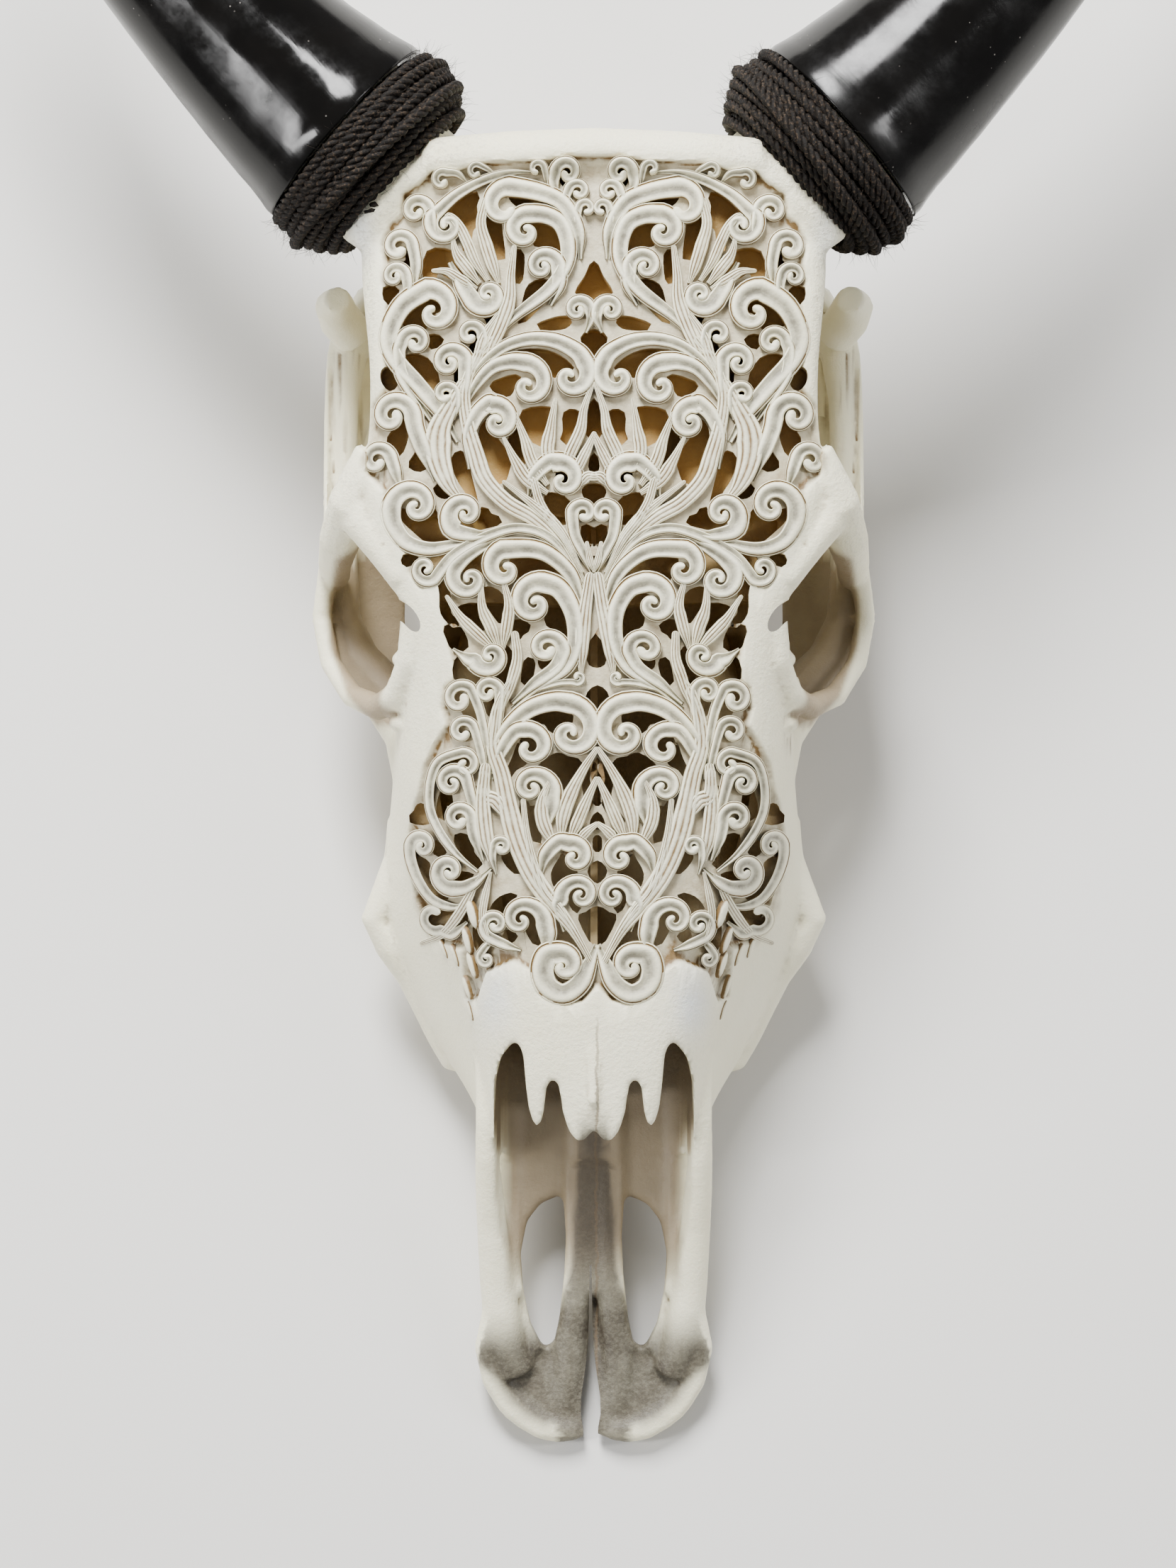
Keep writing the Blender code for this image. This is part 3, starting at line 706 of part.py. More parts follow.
def largest_body(obj):
    """Loose crumbs left by the cutting are cleared, so that one body stays."""
    bm = bmesh.new()
    bm.from_mesh(obj.data)
    seen = set()
    bodies = []
    for first in bm.verts:
        if first in seen:
            continue
        body = [first]
        seen.add(first)
        for vert in body:
            for edge in vert.link_edges:
                other = edge.other_vert(vert)
                if other not in seen:
                    seen.add(other)
                    body.append(other)
        bodies.append(body)
    bodies.sort(key=len)
    for crumb in bodies[:-1]:
        bmesh.ops.delete(bm, geom=crumb, context="VERTS")
    bm.to_mesh(obj.data)
    bm.free()


def horn_root(side):
    """Where the horn's binding starts on the skull's corner, and the way the horn leaves it."""
    start = Vector((side * 74 * MM, 227 * MM, -36 * MM))
    return start, Vector((side * 0.74, 0.67, 0.02)).normalized()


def horn_line(side):
    """The horn's centreline: out along the stalk, then up and a little forward to the tip."""
    start, heading = horn_root(side)
    point = start + heading * (ROPE_BAND_WIDTH + JOINT_GAP)
    angle = math.atan2(heading.y, abs(heading.x))
    steps = 16
    stretch = HORN_LENGTH / steps
    line = [(point.copy(), 0.0)]
    point = point + 3 * MM * heading
    for i in range(steps + 1):
        share = i / steps
        line.append((point.copy(), share))
        lift = 0.02 + 0.3 * share
        flat = math.cos(lift)
        point = point + stretch * Vector((side * math.cos(angle) * flat, math.sin(angle) * flat, math.sin(lift)))
        angle += math.radians(2.2 if share < 0.2 else 4.2)
    return line


def horn_radius(share):
    """Radius along the horn: full at the binding, quickly easing, then an even taper to a blunt tip."""
    return HORN_BASE_RADIUS * ((1 - share) ** 0.62 * 0.86 + 0.14 * math.exp(-share * 9))


def swept(name, line, radius_of, into, sides=16):
    spine = [(*(p / MM), max(radius_of(s), 1.6 * MM) / MM) for p, s in line]
    return tube(name, spine, into, sides)


def horn(side, name, into, helpers):
    line = horn_line(side)
    body = swept(name, line, horn_radius, into)
    hollow_line = [(p, s) for p, s in line if s < 0.5]
    start, heading = horn_root(side)
    hollow_line.insert(0, (line[0][0] - heading * 4 * MM, 0.0))
    inner = swept("hollow_" + name, hollow_line, lambda s: (HORN_BASE_RADIUS - HORN_WALL) * (1 - 1.5 * s), helpers)
    cut(body, helper(inner))
    return body


def rope_band(side, name, into, room=0.0):
    """The binding as one closed ring of its outer shape, round the stalk. With room it is a groove's cutter."""
    start, heading = horn_root(side)
    half = ROPE_BAND_WIDTH / 2 + room
    inner = CORE_RADIUS - room
    outer = ROPE_BAND_RADIUS + 12 * room
    soft = 5 * MM if room == 0 else 0.5 * MM
    profile = [(inner, half), (outer - soft, half), (outer, half - soft), (outer, soft - half),
               (outer - soft, -half), (inner, -half)]
    bm = bmesh.new()
    points = [bm.verts.new((r, 0, h)) for r, h in profile]
    for a, b in zip(points, points[1:] + points[:1]):
        bm.edges.new((a, b))
    bmesh.ops.spin(bm, geom=bm.verts[:] + bm.edges[:], cent=(0, 0, 0), axis=(0, 0, 1), angle=2 * math.pi, steps=24,
                   use_merge=True)
    made = bm_object(name, bm, into)
    made.location = start + heading * ROPE_BAND_WIDTH / 2
    made.rotation_euler = heading.to_track_quat("Z", "Y").to_euler()
    return made


# Cheek teeth, front to back: name, length along the row and width, in millimetres
TEETH = (("premolar_1", 15, 15), ("premolar_2", 17, 17), ("premolar_3", 17, 19), ("molar_1", 22, 22), ("molar_2", 26, 24),
         ("molar_3", 28, 23))
TOOTH_ROW_FRONT = -112
TOOTH_ROW_FRONT_OUT = 43
TOOTH_ROW_BACK_OUT = 55
SOCKET_DEPTH = 8


def table_depth(y):
    """Depth of the table in the face frame at a place along the skull, both in millimetres."""
    return -TABLE_DEPTH / MM - math.tan(REST_TILT) * y


def bone_depth(y):
    """Depth of the jaw's lower edge along the tooth row, in millimetres."""
    return -96 - 0.1 * y


def tooth_row():
    """Name, middle along the skull, distance out, length and width of each tooth, in millimetres."""
    at = TOOTH_ROW_FRONT
    whole = sum(length for _, length, _ in TEETH)
    for name, length, width in TEETH:
        middle = at + length / 2
        share = (middle - TOOTH_ROW_FRONT) / whole
        out = TOOTH_ROW_FRONT_OUT + (TOOTH_ROW_BACK_OUT - TOOTH_ROW_FRONT_OUT) * math.sin(share * math.pi / 2)
        yield name, middle, out, length, width
        at += length


def tooth(name, middle, out, length, width, into):
    """A squared column with two cusp ridges across its worn crown."""
    top = bone_depth(middle) + SOCKET_DEPTH - 2.6
    half_length = length / 2 - 0.4
    half_width = width / 2
    rings = []
    for depth_share, swell in ((0, 0.9), (0.55, 1.0), (1, 0.9)):
        ring = []
        for k in range(8):
            turn = 2 * math.pi * (k + 0.5) / 8
            x = out + half_width * swell * math.copysign(min(1, abs(math.cos(turn)) * 1.25), math.cos(turn))
            y = middle + half_length * swell * math.copysign(min(1, abs(math.sin(turn)) * 1.25), math.sin(turn))
            bottom = table_depth(y)
            ring.append((x * MM, y * MM, (top + (bottom - top) * depth_share) * MM))
        rings.append(ring)
    return loft(name, rings, into)


def table_block(into):
    """Everything below the table, so that the feet of the skull end flat on it."""
    rings = []
    for x in (-150, 150):
        near = table_depth(-300)
        far = table_depth(300)
        corners = ((-300, near), (300, far), (300, far - 80), (-300, near - 80))
        rings.append([(x * MM, y * MM, z * MM) for y, z in corners])
    return loft("table_block", rings, into)


def sockets(into):
    """A trench along each jaw for the roots, a little wider than the teeth."""
    for side in (1, -1):
        rings = []
        for name, middle, out, length, width in tooth_row():
            for end in (-1, 1):
                outermost = (name, end) in ((TEETH[0][0], -1), (TEETH[-1][0], 1))
                y = middle + end * (length / 2 + (0.6 if outermost else -0.5))
                half = width / 2 + 1.4
                top = bone_depth(y) + SOCKET_DEPTH
                low = top - 30
                corners = [(out - half, top), (out + half, top), (out + half, low), (out - half, low)]
                rings.append([(side * x * MM, y * MM, z * MM) for x, z in corners])
        loft("sockets", rings, into)


def main():
    clear_scene()
    skull_parts = collection("carved_cow_skull")
    helpers = collection("cutters")
    masses = collection("bone_masses")
    openings = collection("bone_openings")

    bone_masses(masses)
    grown = joined("grown_bone", masses, helpers)
    fuse(grown, BONE_VOXEL)
    soften(grown, 0.5, 4)
    grown = frozen(grown, helpers)
    ground = face_ground(grown)
    bone_cutters(openings)
    carved_openings(ground, openings)
    opened = joined("open_spaces", openings, helpers)
    fuse(opened, 1.2 * MM)
    opened = frozen(opened, helpers)
    cut(grown, opened)
    grown = frozen(grown, masses)
    helper(opened)
    bone_bridges(masses)
    carved_ribs(ground, masses)
    whole = joined("whole_bone", masses, helpers)
    fuse(whole, BONE_VOXEL * 0.8)
    soften(whole, 0.5, 2)
    skull = frozen(whole, skull_parts)
    skull.name = "skull"
    largest_body(skull)
    thin = skull.modifiers.new("Facet", "DECIMATE")
    thin.ratio = BONE_TRIANGLES / sum(len(p.vertices) - 2 for p in skull.data.polygons)
    trenches = collection("trenches")
    sockets(trenches)
    trench = helper(joined("tooth_sockets", trenches, helpers))
    cut(skull, trench)
    cut(skull, helper(table_block(helpers)))
    for side, word in ((1, "right"), (-1, "left")):
        cut(skull, helper(rope_band(side, "binding_groove_" + word, helpers, JOINT_GAP)))

    bone = material("bone", BONE, 0.5)
    skull.data.materials.append(bone)
    horn_black = material("horn", HORN, 0.12)
    rope = material("rope", ROPE, 0.95)
    enamel = material("tooth", TOOTH, 0.35)
    named = [skull]
    for side, word in ((1, "right"), (-1, "left")):
        made = horn(side, "horn_" + word, skull_parts, helpers)
        made.data.materials.append(horn_black)
        band = rope_band(side, "rope_binding_" + word, skull_parts)
        band.data.materials.append(rope)
        named += [made, band]
        for name, middle, out, length, width in tooth_row():
            one = tooth(name + "_" + word, middle, side * out, length, width, skull_parts)
            one.data.materials.append(enamel)
            named.append(one)

    rest = bpy.data.objects.new("rest_pose", None)
    skull_parts.objects.link(rest)
    rest.rotation_euler = (REST_TILT, 0, 0)
    rest.location = (0, 0, TABLE_DEPTH * math.cos(REST_TILT))
    for obj in list(skull_parts.objects) + list(helpers.objects):
        if obj is not rest:
            obj.parent = rest
    for spare in (masses, openings, trenches):
        bpy.data.collections.remove(spare)
    bpy.context.view_layer.update()
    graph = bpy.context.evaluated_depsgraph_get()
    along = []
    for obj in named:
        made = obj.evaluated_get(graph)
        along += [(made.matrix_world @ vert.co).y for vert in made.data.vertices]
    rest.location.y = -(min(along) + max(along)) / 2
    bpy.context.view_layer.update()


main()
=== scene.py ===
"""A carved cow skull with black horns bound on with cord, lying face up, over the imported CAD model."""

import json
import math
import random

import bmesh
import bpy
import numpy as np
from mathutils import Matrix, Vector, noise
from mathutils.bvhtree import BVHTree

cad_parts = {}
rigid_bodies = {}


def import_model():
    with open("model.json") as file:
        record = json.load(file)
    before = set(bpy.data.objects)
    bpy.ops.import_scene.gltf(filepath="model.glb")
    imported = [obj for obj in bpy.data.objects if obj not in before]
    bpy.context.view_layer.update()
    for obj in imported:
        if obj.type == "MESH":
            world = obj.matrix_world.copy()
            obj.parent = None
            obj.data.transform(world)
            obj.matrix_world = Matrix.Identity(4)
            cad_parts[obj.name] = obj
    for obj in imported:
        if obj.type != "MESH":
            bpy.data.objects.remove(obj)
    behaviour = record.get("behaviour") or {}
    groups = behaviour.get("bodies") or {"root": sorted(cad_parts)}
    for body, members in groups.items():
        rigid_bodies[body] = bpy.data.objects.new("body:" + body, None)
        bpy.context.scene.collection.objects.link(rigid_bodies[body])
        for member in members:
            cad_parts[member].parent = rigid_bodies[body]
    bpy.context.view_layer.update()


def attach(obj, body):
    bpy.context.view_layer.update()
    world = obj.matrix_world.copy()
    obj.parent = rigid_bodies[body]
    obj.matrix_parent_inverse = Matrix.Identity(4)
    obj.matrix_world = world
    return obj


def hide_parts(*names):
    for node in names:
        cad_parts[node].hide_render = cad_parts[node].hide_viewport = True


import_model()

# Camera. The picture is taken straight onto the forehead from about 1.6 m, so the camera looks down on the
# lying skull along the face's normal. The skull rests tipped 12 degrees, and everything on it is drawn in
# its face frame: millimetres to the viewer's right, from nose to poll, and out of the forehead.
MM = 0.001
REST_TILT = math.radians(12)
FACE_MIDDLE = (0, -158.19 * MM, 124.71 * MM)
CAMERA_AWAY = 1.6
face = Matrix.Translation(FACE_MIDDLE) @ Matrix.Rotation(REST_TILT, 4, "X")
lens = bpy.data.cameras.new("camera")
lens.sensor_width = 36
lens.lens = 100.2
lens.clip_end = 20
camera = bpy.data.objects.new("camera", lens)
camera.matrix_world = face @ Matrix.Translation((-2.2 * MM, 0.3 * MM, CAMERA_AWAY))
bpy.context.scene.collection.objects.link(camera)
bpy.context.scene.camera = camera


# Floor: a plain pale painted board, matt, that the skull lies on.
def socket_of(value):
    """A node's first live output; any other value as it is."""
    if isinstance(value, bpy.types.Node):
        return next(s for s in value.outputs if s.enabled)
    return value


def node(tree, kind, links=None, **settings):
    """Adds one node. Settings are its properties; links are its inputs, from a value, node or output."""
    made = tree.nodes.new(kind)
    for name, value in settings.items():
        setattr(made, name, value)
    for name, value in (links or {}).items():
        live = [s for s in made.inputs if s.enabled]
        entry = live[name] if isinstance(name, int) else next(s for s in live if s.name == name)
        value = socket_of(value)
        if isinstance(value, bpy.types.NodeSocket):
            tree.links.new(value, entry)
        else:
            entry.default_value = value
    return made


def paint(code):
    """An sRGB hex colour as a linear one."""
    parts = [int(code[i:i + 2], 16) / 255 for i in (1, 3, 5)]
    return (*(p / 12.92 if p <= 0.04045 else ((p + 0.055) / 1.055) ** 2.4 for p in parts), 1)


def finish_of(name, **settings):
    """A new material's node tree and its Principled shader."""
    made = bpy.data.materials.new(name)
    made.use_nodes = True
    shader = made.node_tree.nodes["Principled BSDF"]
    for key, value in settings.items():
        shader.inputs[key.replace("_", " ")].default_value = value
    return made, made.node_tree, shader


def per_metre(size):
    """A pattern's scale, from the size of one of its grains in millimetres."""
    return 1 / (size * MM)


bpy.ops.object.select_all(action="DESELECT")
bpy.ops.mesh.primitive_plane_add(size=7, location=(0, 0.3, 0))
floor = bpy.context.object
floor.name = "floor"
pale, tree, shader = finish_of("matt_paint", Roughness=0.85)
place = node(tree, "ShaderNodeTexCoord")
cloudy = node(tree, "ShaderNodeTexNoise", {"Vector": place.outputs["Object"], "Scale": per_metre(333.33),
                                           "Detail": 3.0})
tint = node(tree, "ShaderNodeMix", {"Factor": cloudy, "A": paint("#d9d7d2"), "B": paint("#dedcd8")},
            data_type="RGBA")
tree.links.new(socket_of(tint), shader.inputs["Base Color"])
floor.data.materials.append(pale)

# Light: one broad soft box beyond the poll, two weaker strips beside the nose, and an even soft sky. Each
# lamp has its place, the point that it is turned to, its width and its power in watts.
LAMPS = (
    ("poll_light", (-0.35, 1.25, 1.75), (0, 0.1, 0.1), 0.6, 142),
    ("side_light", (-1.5, -0.5, 1.3), (0, 0, 0.1), 0.22, 26),
    ("fill_light", (1.5, -0.2, 1.3), (0, 0, 0.1), 0.22, 16),
)
for name, place_at, aim, size, power in LAMPS:
    lamp = bpy.data.lights.new(name, "AREA")
    lamp.shape = "RECTANGLE"
    lamp.size = size
    lamp.size_y = 1.1
    lamp.energy = power
    box_light = bpy.data.objects.new(name, lamp)
    box_light.location = place_at
    box_light.rotation_euler = (Vector(aim) - Vector(place_at)).to_track_quat("-Z", "Y").to_euler()
    bpy.context.scene.collection.objects.link(box_light)
sky = bpy.data.worlds.new("soft_sky")
sky.use_nodes = True
sky.node_tree.nodes["Background"].inputs["Color"].default_value = paint("#f4f6fa")
sky.node_tree.nodes["Background"].inputs["Strength"].default_value = 0.33
bpy.context.scene.world = sky


# Skull: one grown cow's skull, bleached and scrubbed, with its face pierced by carving. Its bones are drawn
# as masses that overlap and are grown into one, then the nose, eyes, temples and pattern's openings are cut.
CORE_RADIUS = 33
FIRST_GRAIN = 1.4 * MM
LAST_GRAIN = 1.25 * MM

# Half sections, poll to nose: distance from the middle, then (half width, depth) pairs in millimetres.
SECTIONS = (
    (241, (0, -18), (34, -18), (62, -24), (68, -42), (64, -70), (54, -98), (40, -122), (20, -134),
     (0, -134)),
    (226, (0, -1), (42, -1), (75, -7), (84, -28), (76, -62), (64, -94), (50, -122), (25, -138), (0, -137)),
    (198, (0, 0), (46, -1), (84, -5), (92, -20), (76, -50), (64, -84), (56, -116), (27, -138), (0, -138)),
    (165, (0, 1), (45, 0), (79, -4), (88, -14), (64, -34), (56, -74), (54, -108), (26, -132), (0, -132)),
    (132, (0, 1), (45, 0), (77, -4), (87, -13), (62, -32), (52, -70), (47, -104), (23, -124), (0, -124)),
    (106, (0, 1), (46, 0), (80, -4), (95, -14), (68, -36), (52, -70), (44, -98), (21, -114), (0, -114)),
    (72, (0, 0), (44, -1), (68, -5), (78, -16), (66, -42), (56, -70), (50, -96), (24, -106), (0, -106)),
    (36, (0, -1), (40, -2), (60, -8), (73, -24), (75, -48), (72, -74), (62, -98), (36, -102), (0, -102)),
    (0, (0, -2), (36, -3), (57, -9), (71, -25), (77, -50), (77, -74), (66, -98), (40, -100), (0, -98)),
    (-30, (0, -3), (32, -4), (50, -10), (65, -27), (75, -52), (85, -72), (67, -96), (41, -97), (0, -93)),
    (-56, (0, -5), (28, -6), (43, -12), (54, -30), (67, -55), (87, -73), (69, -93), (41, -93), (0, -89)),
    (-82, (0, -7), (24, -8), (37, -13), (45, -28), (52, -52), (75, -79), (64, -89), (37, -89), (0, -85)),
    (-106, (0, -10), (22, -11), (33, -16), (41, -30), (44, -50), (60, -80), (52, -87), (29, -84), (0, -80)),
    (-128, (0, -13), (19, -14), (31, -22), (40, -35), (42, -52), (42, -70), (38, -79), (24, -79), (0, -77)),
    (-142, (0, -17), (17, -18), (29, -28), (39, -40), (42, -54), (41, -68), (36, -76), (24, -76), (0, -75)),
)

# The frontal sinus behind the carved plate, opening into the nasal passage
HOLLOW = (
    (222, (0, -7), (40, -7), (66, -12), (68, -22), (40, -28), (0, -28)),
    (195, (0, -5), (44, -6), (76, -10), (78, -20), (44, -32), (0, -33)),
    (160, (0, -4), (44, -5), (74, -9), (72, -18), (44, -34), (0, -36)),
    (130, (0, -4), (44, -5), (73, -9), (70, -18), (44, -36), (0, -38)),
    (104, (0, -4), (44, -5), (74, -9), (74, -20), (46, -40), (0, -44)),
    (70, (0, -5), (42, -6), (62, -10), (60, -26), (48, -50), (0, -60)),
    (36, (0, -6), (38, -7), (55, -13), (66, -28), (60, -72), (0, -84)),
    (0, (0, -7), (34, -8), (52, -14), (65, -29), (60, -78), (0, -88)),
    (-30, (0, -8), (30, -9), (46, -15), (60, -32), (58, -80), (0, -84)),
    (-56, (0, -10), (26, -11), (39, -17), (50, -34), (54, -80), (0, -80)),
    (-82, (0, -12), (22, -13), (33, -18), (41, -32), (44, -74), (0, -76)),
    (-106, (0, -14), (20, -15), (36, -27), (35, -50), (27, -67), (0, -68)),
    (-126, (0, -17), (17, -18), (35, -32), (34, -52), (27, -62), (0, -63)),
)

# The nose's open floor in front of the nasal bones, between the side bars and over the keel
NOSE_FLOOR = (
    (-96, (0, -30), (34, -30), (36, -40), (35, -50), (32, -58), (27, -62), (13, -63), (9.5, -59.5),
     (0, -59)),
    (-118, (0, -30), (36.6, -30), (36.7, -40), (35.4, -50), (32, -58), (27, -62.5), (13, -63), (9.5, -59.5),
     (0, -59)),
    (-140, (0, -30), (36.8, -30), (36.8, -40), (35.4, -50), (32, -58), (27, -62.5), (13, -63), (9.5, -59.5),
     (0, -59)),
)
NOSE_FRONT = (
    (-134.5, (0, 20), (37.4, 20), (36.7, -40), (35.4, -50), (32, -58), (27, -62.5), (13, -63), (9.5, -59.5),
     (0, -59)),
    (-140, (0, 20), (37.5, 20), (36.9, -40), (35.4, -50), (32, -58), (28, -62.5), (13, -63.5), (9.5, -59.5),
     (0, -59)),
    (-156, (0, 20), (37.4, 20), (36.8, -46), (34, -53), (30.5, -59), (27, -63), (13, -64.5), (9.5, -60),
     (0, -59)),
    (-172, (0, 20), (36, 20), (35, -52), (32, -57), (29, -61), (26, -64), (14, -64.5), (11, -59), (0, -58)),
    (-188, (0, 20), (32, 20), (31, -57), (30, -60), (28, -62.5), (25, -64), (16, -63.5), (14, -56),
     (0, -54)),
)


def collection(name):
    made = bpy.data.collections.new(name)
    bpy.context.scene.collection.children.link(made)
    return made


def mesh_object(name, mesh, into):
    made = bpy.data.objects.new(name, mesh)
    into.objects.link(made)
    return made


def bm_object(name, bm, into):
    bmesh.ops.remove_doubles(bm, verts=bm.verts, dist=1e-6)
    bmesh.ops.recalc_face_normals(bm, faces=bm.faces)
    mesh = bpy.data.meshes.new(name)
    bm.to_mesh(mesh)
    bm.free()
    return mesh_object(name, mesh, into)


def loft(name, rings, into, mirrored=False):
    """A closed body through rings of points, with flat ends. Mirrored rings are half sections at X >= 0."""
    bm = bmesh.new()
    loops = []
    for ring in rings:
        points = list(ring)
        if mirrored:
            points += [(-x, y, z) for x, y, z in reversed(ring[1:-1])]
        loops.append([bm.verts.new(p) for p in points])
    for one, two in zip(loops, loops[1:]):
        count = len(one)
        for i in range(count):
            j = (i + 1) % count
            bm.faces.new((one[i], one[j], two[j], two[i]))
    for end in (loops[0], loops[-1]):
        centre = sum((v.co for v in end), Vector()) / len(end)
        hub = bm.verts.new(centre)
        for i in range(len(end)):
            bm.faces.new((end[i], end[(i + 1) % len(end)], hub))
    return bm_object(name, bm, into)


def section_rings(sections):
    return [[(x * MM, y * MM, z * MM) for x, z in points] for y, *points in sections]


def smooth(obj, levels):
    subdivide = obj.modifiers.new("Smooth", "SUBSURF")
    subdivide.levels = levels
    subdivide.render_levels = levels
    return obj


def tube(name, spine, into, sides=12):
    """A round tapering bone along (x, y, z, radius) points in millimetres, with flat ends."""
    points = [Vector(p[:3]) * MM for p in spine]
    radii = [p[3] * MM for p in spine]
    rings = []
    across = Vector((0, 0, 1))
    for i, point in enumerate(points):
        ahead = (points[min(i + 1, len(points) - 1)] - points[max(i - 1, 0)]).normalized()
        side = ahead.cross(across)
        if side.length < 0.2:
            side = ahead.cross(Vector((1, 0, 0)))
        side.normalize()
        up = side.cross(ahead)
        turn = [2 * math.pi * k / sides for k in range(sides)]
        rings.append([tuple(point + radii[i] * (side * math.cos(a) + up * math.sin(a))) for a in turn])
    return loft(name, rings, into)


def mirrored_tube(name, spine, into, sides=12):
    for side in (1, -1):
        tube(name, [(side * x, y, z, r) for x, y, z, r in spine], into, sides)


def ellipsoid(name, centre, radii, into, turn=(0, 0, 0), sides=20):
    bm = bmesh.new()
    bmesh.ops.create_uvsphere(bm, u_segments=sides, v_segments=sides // 2, radius=1)
    place = Matrix.Translation(Vector(centre) * MM)
    for axis, angle in zip("ZYX", reversed(turn)):
        place = place @ Matrix.Rotation(math.radians(angle), 4, axis)
    bm.transform(place @ Matrix.Diagonal((*(r * MM for r in radii), 1)))
    return bm_object(name, bm, into)


def mirrored_ellipsoid(name, centre, radii, into, turn=(0, 0, 0), sides=20):
    x, y, z = centre
    around_x, around_y, around_z = turn
    ellipsoid(name, centre, radii, into, turn, sides)
    ellipsoid(name, (-x, y, z), radii, into, (around_x, -around_y, -around_z), sides)


def prism(name, outline, low, high, into):
    """An upright block over an outline of (x, y) millimetres, between two depths in millimetres."""
    bm = bmesh.new()
    base = [bm.verts.new((x * MM, y * MM, low * MM)) for x, y in outline]
    made = bmesh.ops.extrude_face_region(bm, geom=[bm.faces.new(base)])["geom"]
    lifted = [v for v in made if isinstance(v, bmesh.types.BMVert)]
    bmesh.ops.translate(bm, verts=lifted, vec=(0, 0, (high - low) * MM))
    return bm_object(name, bm, into)


def mirrored_prism(name, outline, low, high, into):
    prism(name, outline, low, high, into)
    prism(name, [(-x, y) for x, y in reversed(outline)], low, high, into)


def frozen(obj, into):
    """The evaluated mesh of an object as a new object with no modifiers."""
    graph = bpy.context.evaluated_depsgraph_get()
    mesh = bpy.data.meshes.new_from_object(obj.evaluated_get(graph))
    made = mesh_object(obj.name, mesh, into)
    made.matrix_world = obj.matrix_world
    bpy.data.objects.remove(obj)
    return made


def joined(name, source, into):
    """Every object of a collection in one mesh, left as overlapping closed bodies."""
    bm = bmesh.new()
    graph = bpy.context.evaluated_depsgraph_get()
    for obj in list(source.objects):
        mesh = bpy.data.meshes.new_from_object(obj.evaluated_get(graph))
        bm.from_mesh(mesh)
        bpy.data.objects.remove(obj)
        bpy.data.meshes.remove(mesh)
    mesh = bpy.data.meshes.new(name)
    bm.to_mesh(mesh)
    bm.free()
    return mesh_object(name, mesh, into)


def horn_root(side):
    """Where the horn's binding starts on the skull's corner, and the way the horn leaves it."""
    start = Vector((side * 74 * MM, 227 * MM, -36 * MM))
    return start, Vector((side * 0.74, 0.67, 0.02)).normalized()


HORN_CORE = ((-34, 25), (-14, 27), (0, 27), (12, 29), (30, CORE_RADIUS), (46, 27))


def bone_masses(into):
    """The solid bones that the skull is grown from, as overlapping bodies."""
    smooth(loft("braincase", section_rings(SECTIONS), into, mirrored=True), 2)
    mirrored_tube("cheek_root", [(65, 6, -62, 12.5), (69, 22, -68, 12), (76, 36, -72, 10)], into)
    # Poll ridge between the horns
    tube("poll_ridge", [(-62, 229, -12, 10), (-30, 231, -10, 10.5), (0, 232, -9, 10.5), (30, 231, -10, 10.5),
                        (62, 229, -12, 10)], into)
    mirrored_tube("horn_seat", [(56, 227, -14, 11), (68, 222, -15.5, 12), (79, 212, -18, 12),
                                (86, 200, -22, 10)], into)
    # Horn cores: distance along the horn from the skull's corner, and radius
    for side in (1, -1):
        start, heading = horn_root(side)
        spine = [(*((start + heading * out * MM) / MM), radius) for out, radius in HORN_CORE]
        tube("horn_core", spine, into, 20)
    # Back of the skull: condyles beside the foramen, and the long processes beside them
    mirrored_ellipsoid("condyle", (22, 236, -140), (15, 17, 22), into, turn=(0, -20, 0))
    mirrored_tube("occipital_process",
                  [(48, 208, -110, 15), (49, 206, -138, 12), (46, 203, -158, 9), (44, 201, -176, 7)],
                  into)
    mirrored_ellipsoid("ear_bulla", (50, 176, -124), (14, 20, 18), into)
    mirrored_tube("pterygoid", [(24, 60, -104, 7), (25, 76, -116, 5), (23, 92, -122, 4)], into)
    # Snout: side bars from the upper jaw to the incisive bones, which spread into two flat paddles
    mirrored_tube("snout_bar", [(40, -100, -44, 5), (39.8, -126, -42, 5), (39.4, -140, -45, 5.6),
                                (39, -154, -50, 6), (38.4, -168, -55, 6.2), (36.6, -192, -61, 6.8),
                                (34, -211, -65, 7.6), (29, -225, -69, 7)], into)
    mirrored_tube("snout_keel", [(4.6, -118, -68, 6), (4.8, -156, -66, 6), (5.8, -184, -65, 5.8),
                                 (7.8, -204, -67, 6), (9.5, -222, -70, 6), (9.5, -238, -72, 4)], into)
    shelf = ((0, -130), (41, -130), (41, -170), (39, -200), (33, -214), (25, -219), (14, -213), (0, -178))
    mirrored_prism("palate_shelf", shelf, -76, -66, into)
    mirrored_prism("shelf_back", ((0, -130), (40, -130), (40, -176), (36, -194), (0, -194)), -76, -61, into)
    plate = ((37, -190), (39.5, -203), (43.3, -213), (44.8, -220), (42.2, -230), (36.5, -239.5),
             (29, -246.5), (20.5, -251), (13, -252.6), (6, -251.2), (1, -249), (0.5, -244), (0, -234),
             (0, -192))
    mirrored_prism("incisive_plate", plate, -76, -70, into)
    mirrored_tube("plate_lip", [(38.5, -200, -62, 4.2), (41.6, -215, -65, 4.2), (38.6, -228, -68, 4.2),
                                (31, -239.5, -70, 4.4), (20, -247, -71, 4.4), (7, -248.2, -72, 3.8)], into)


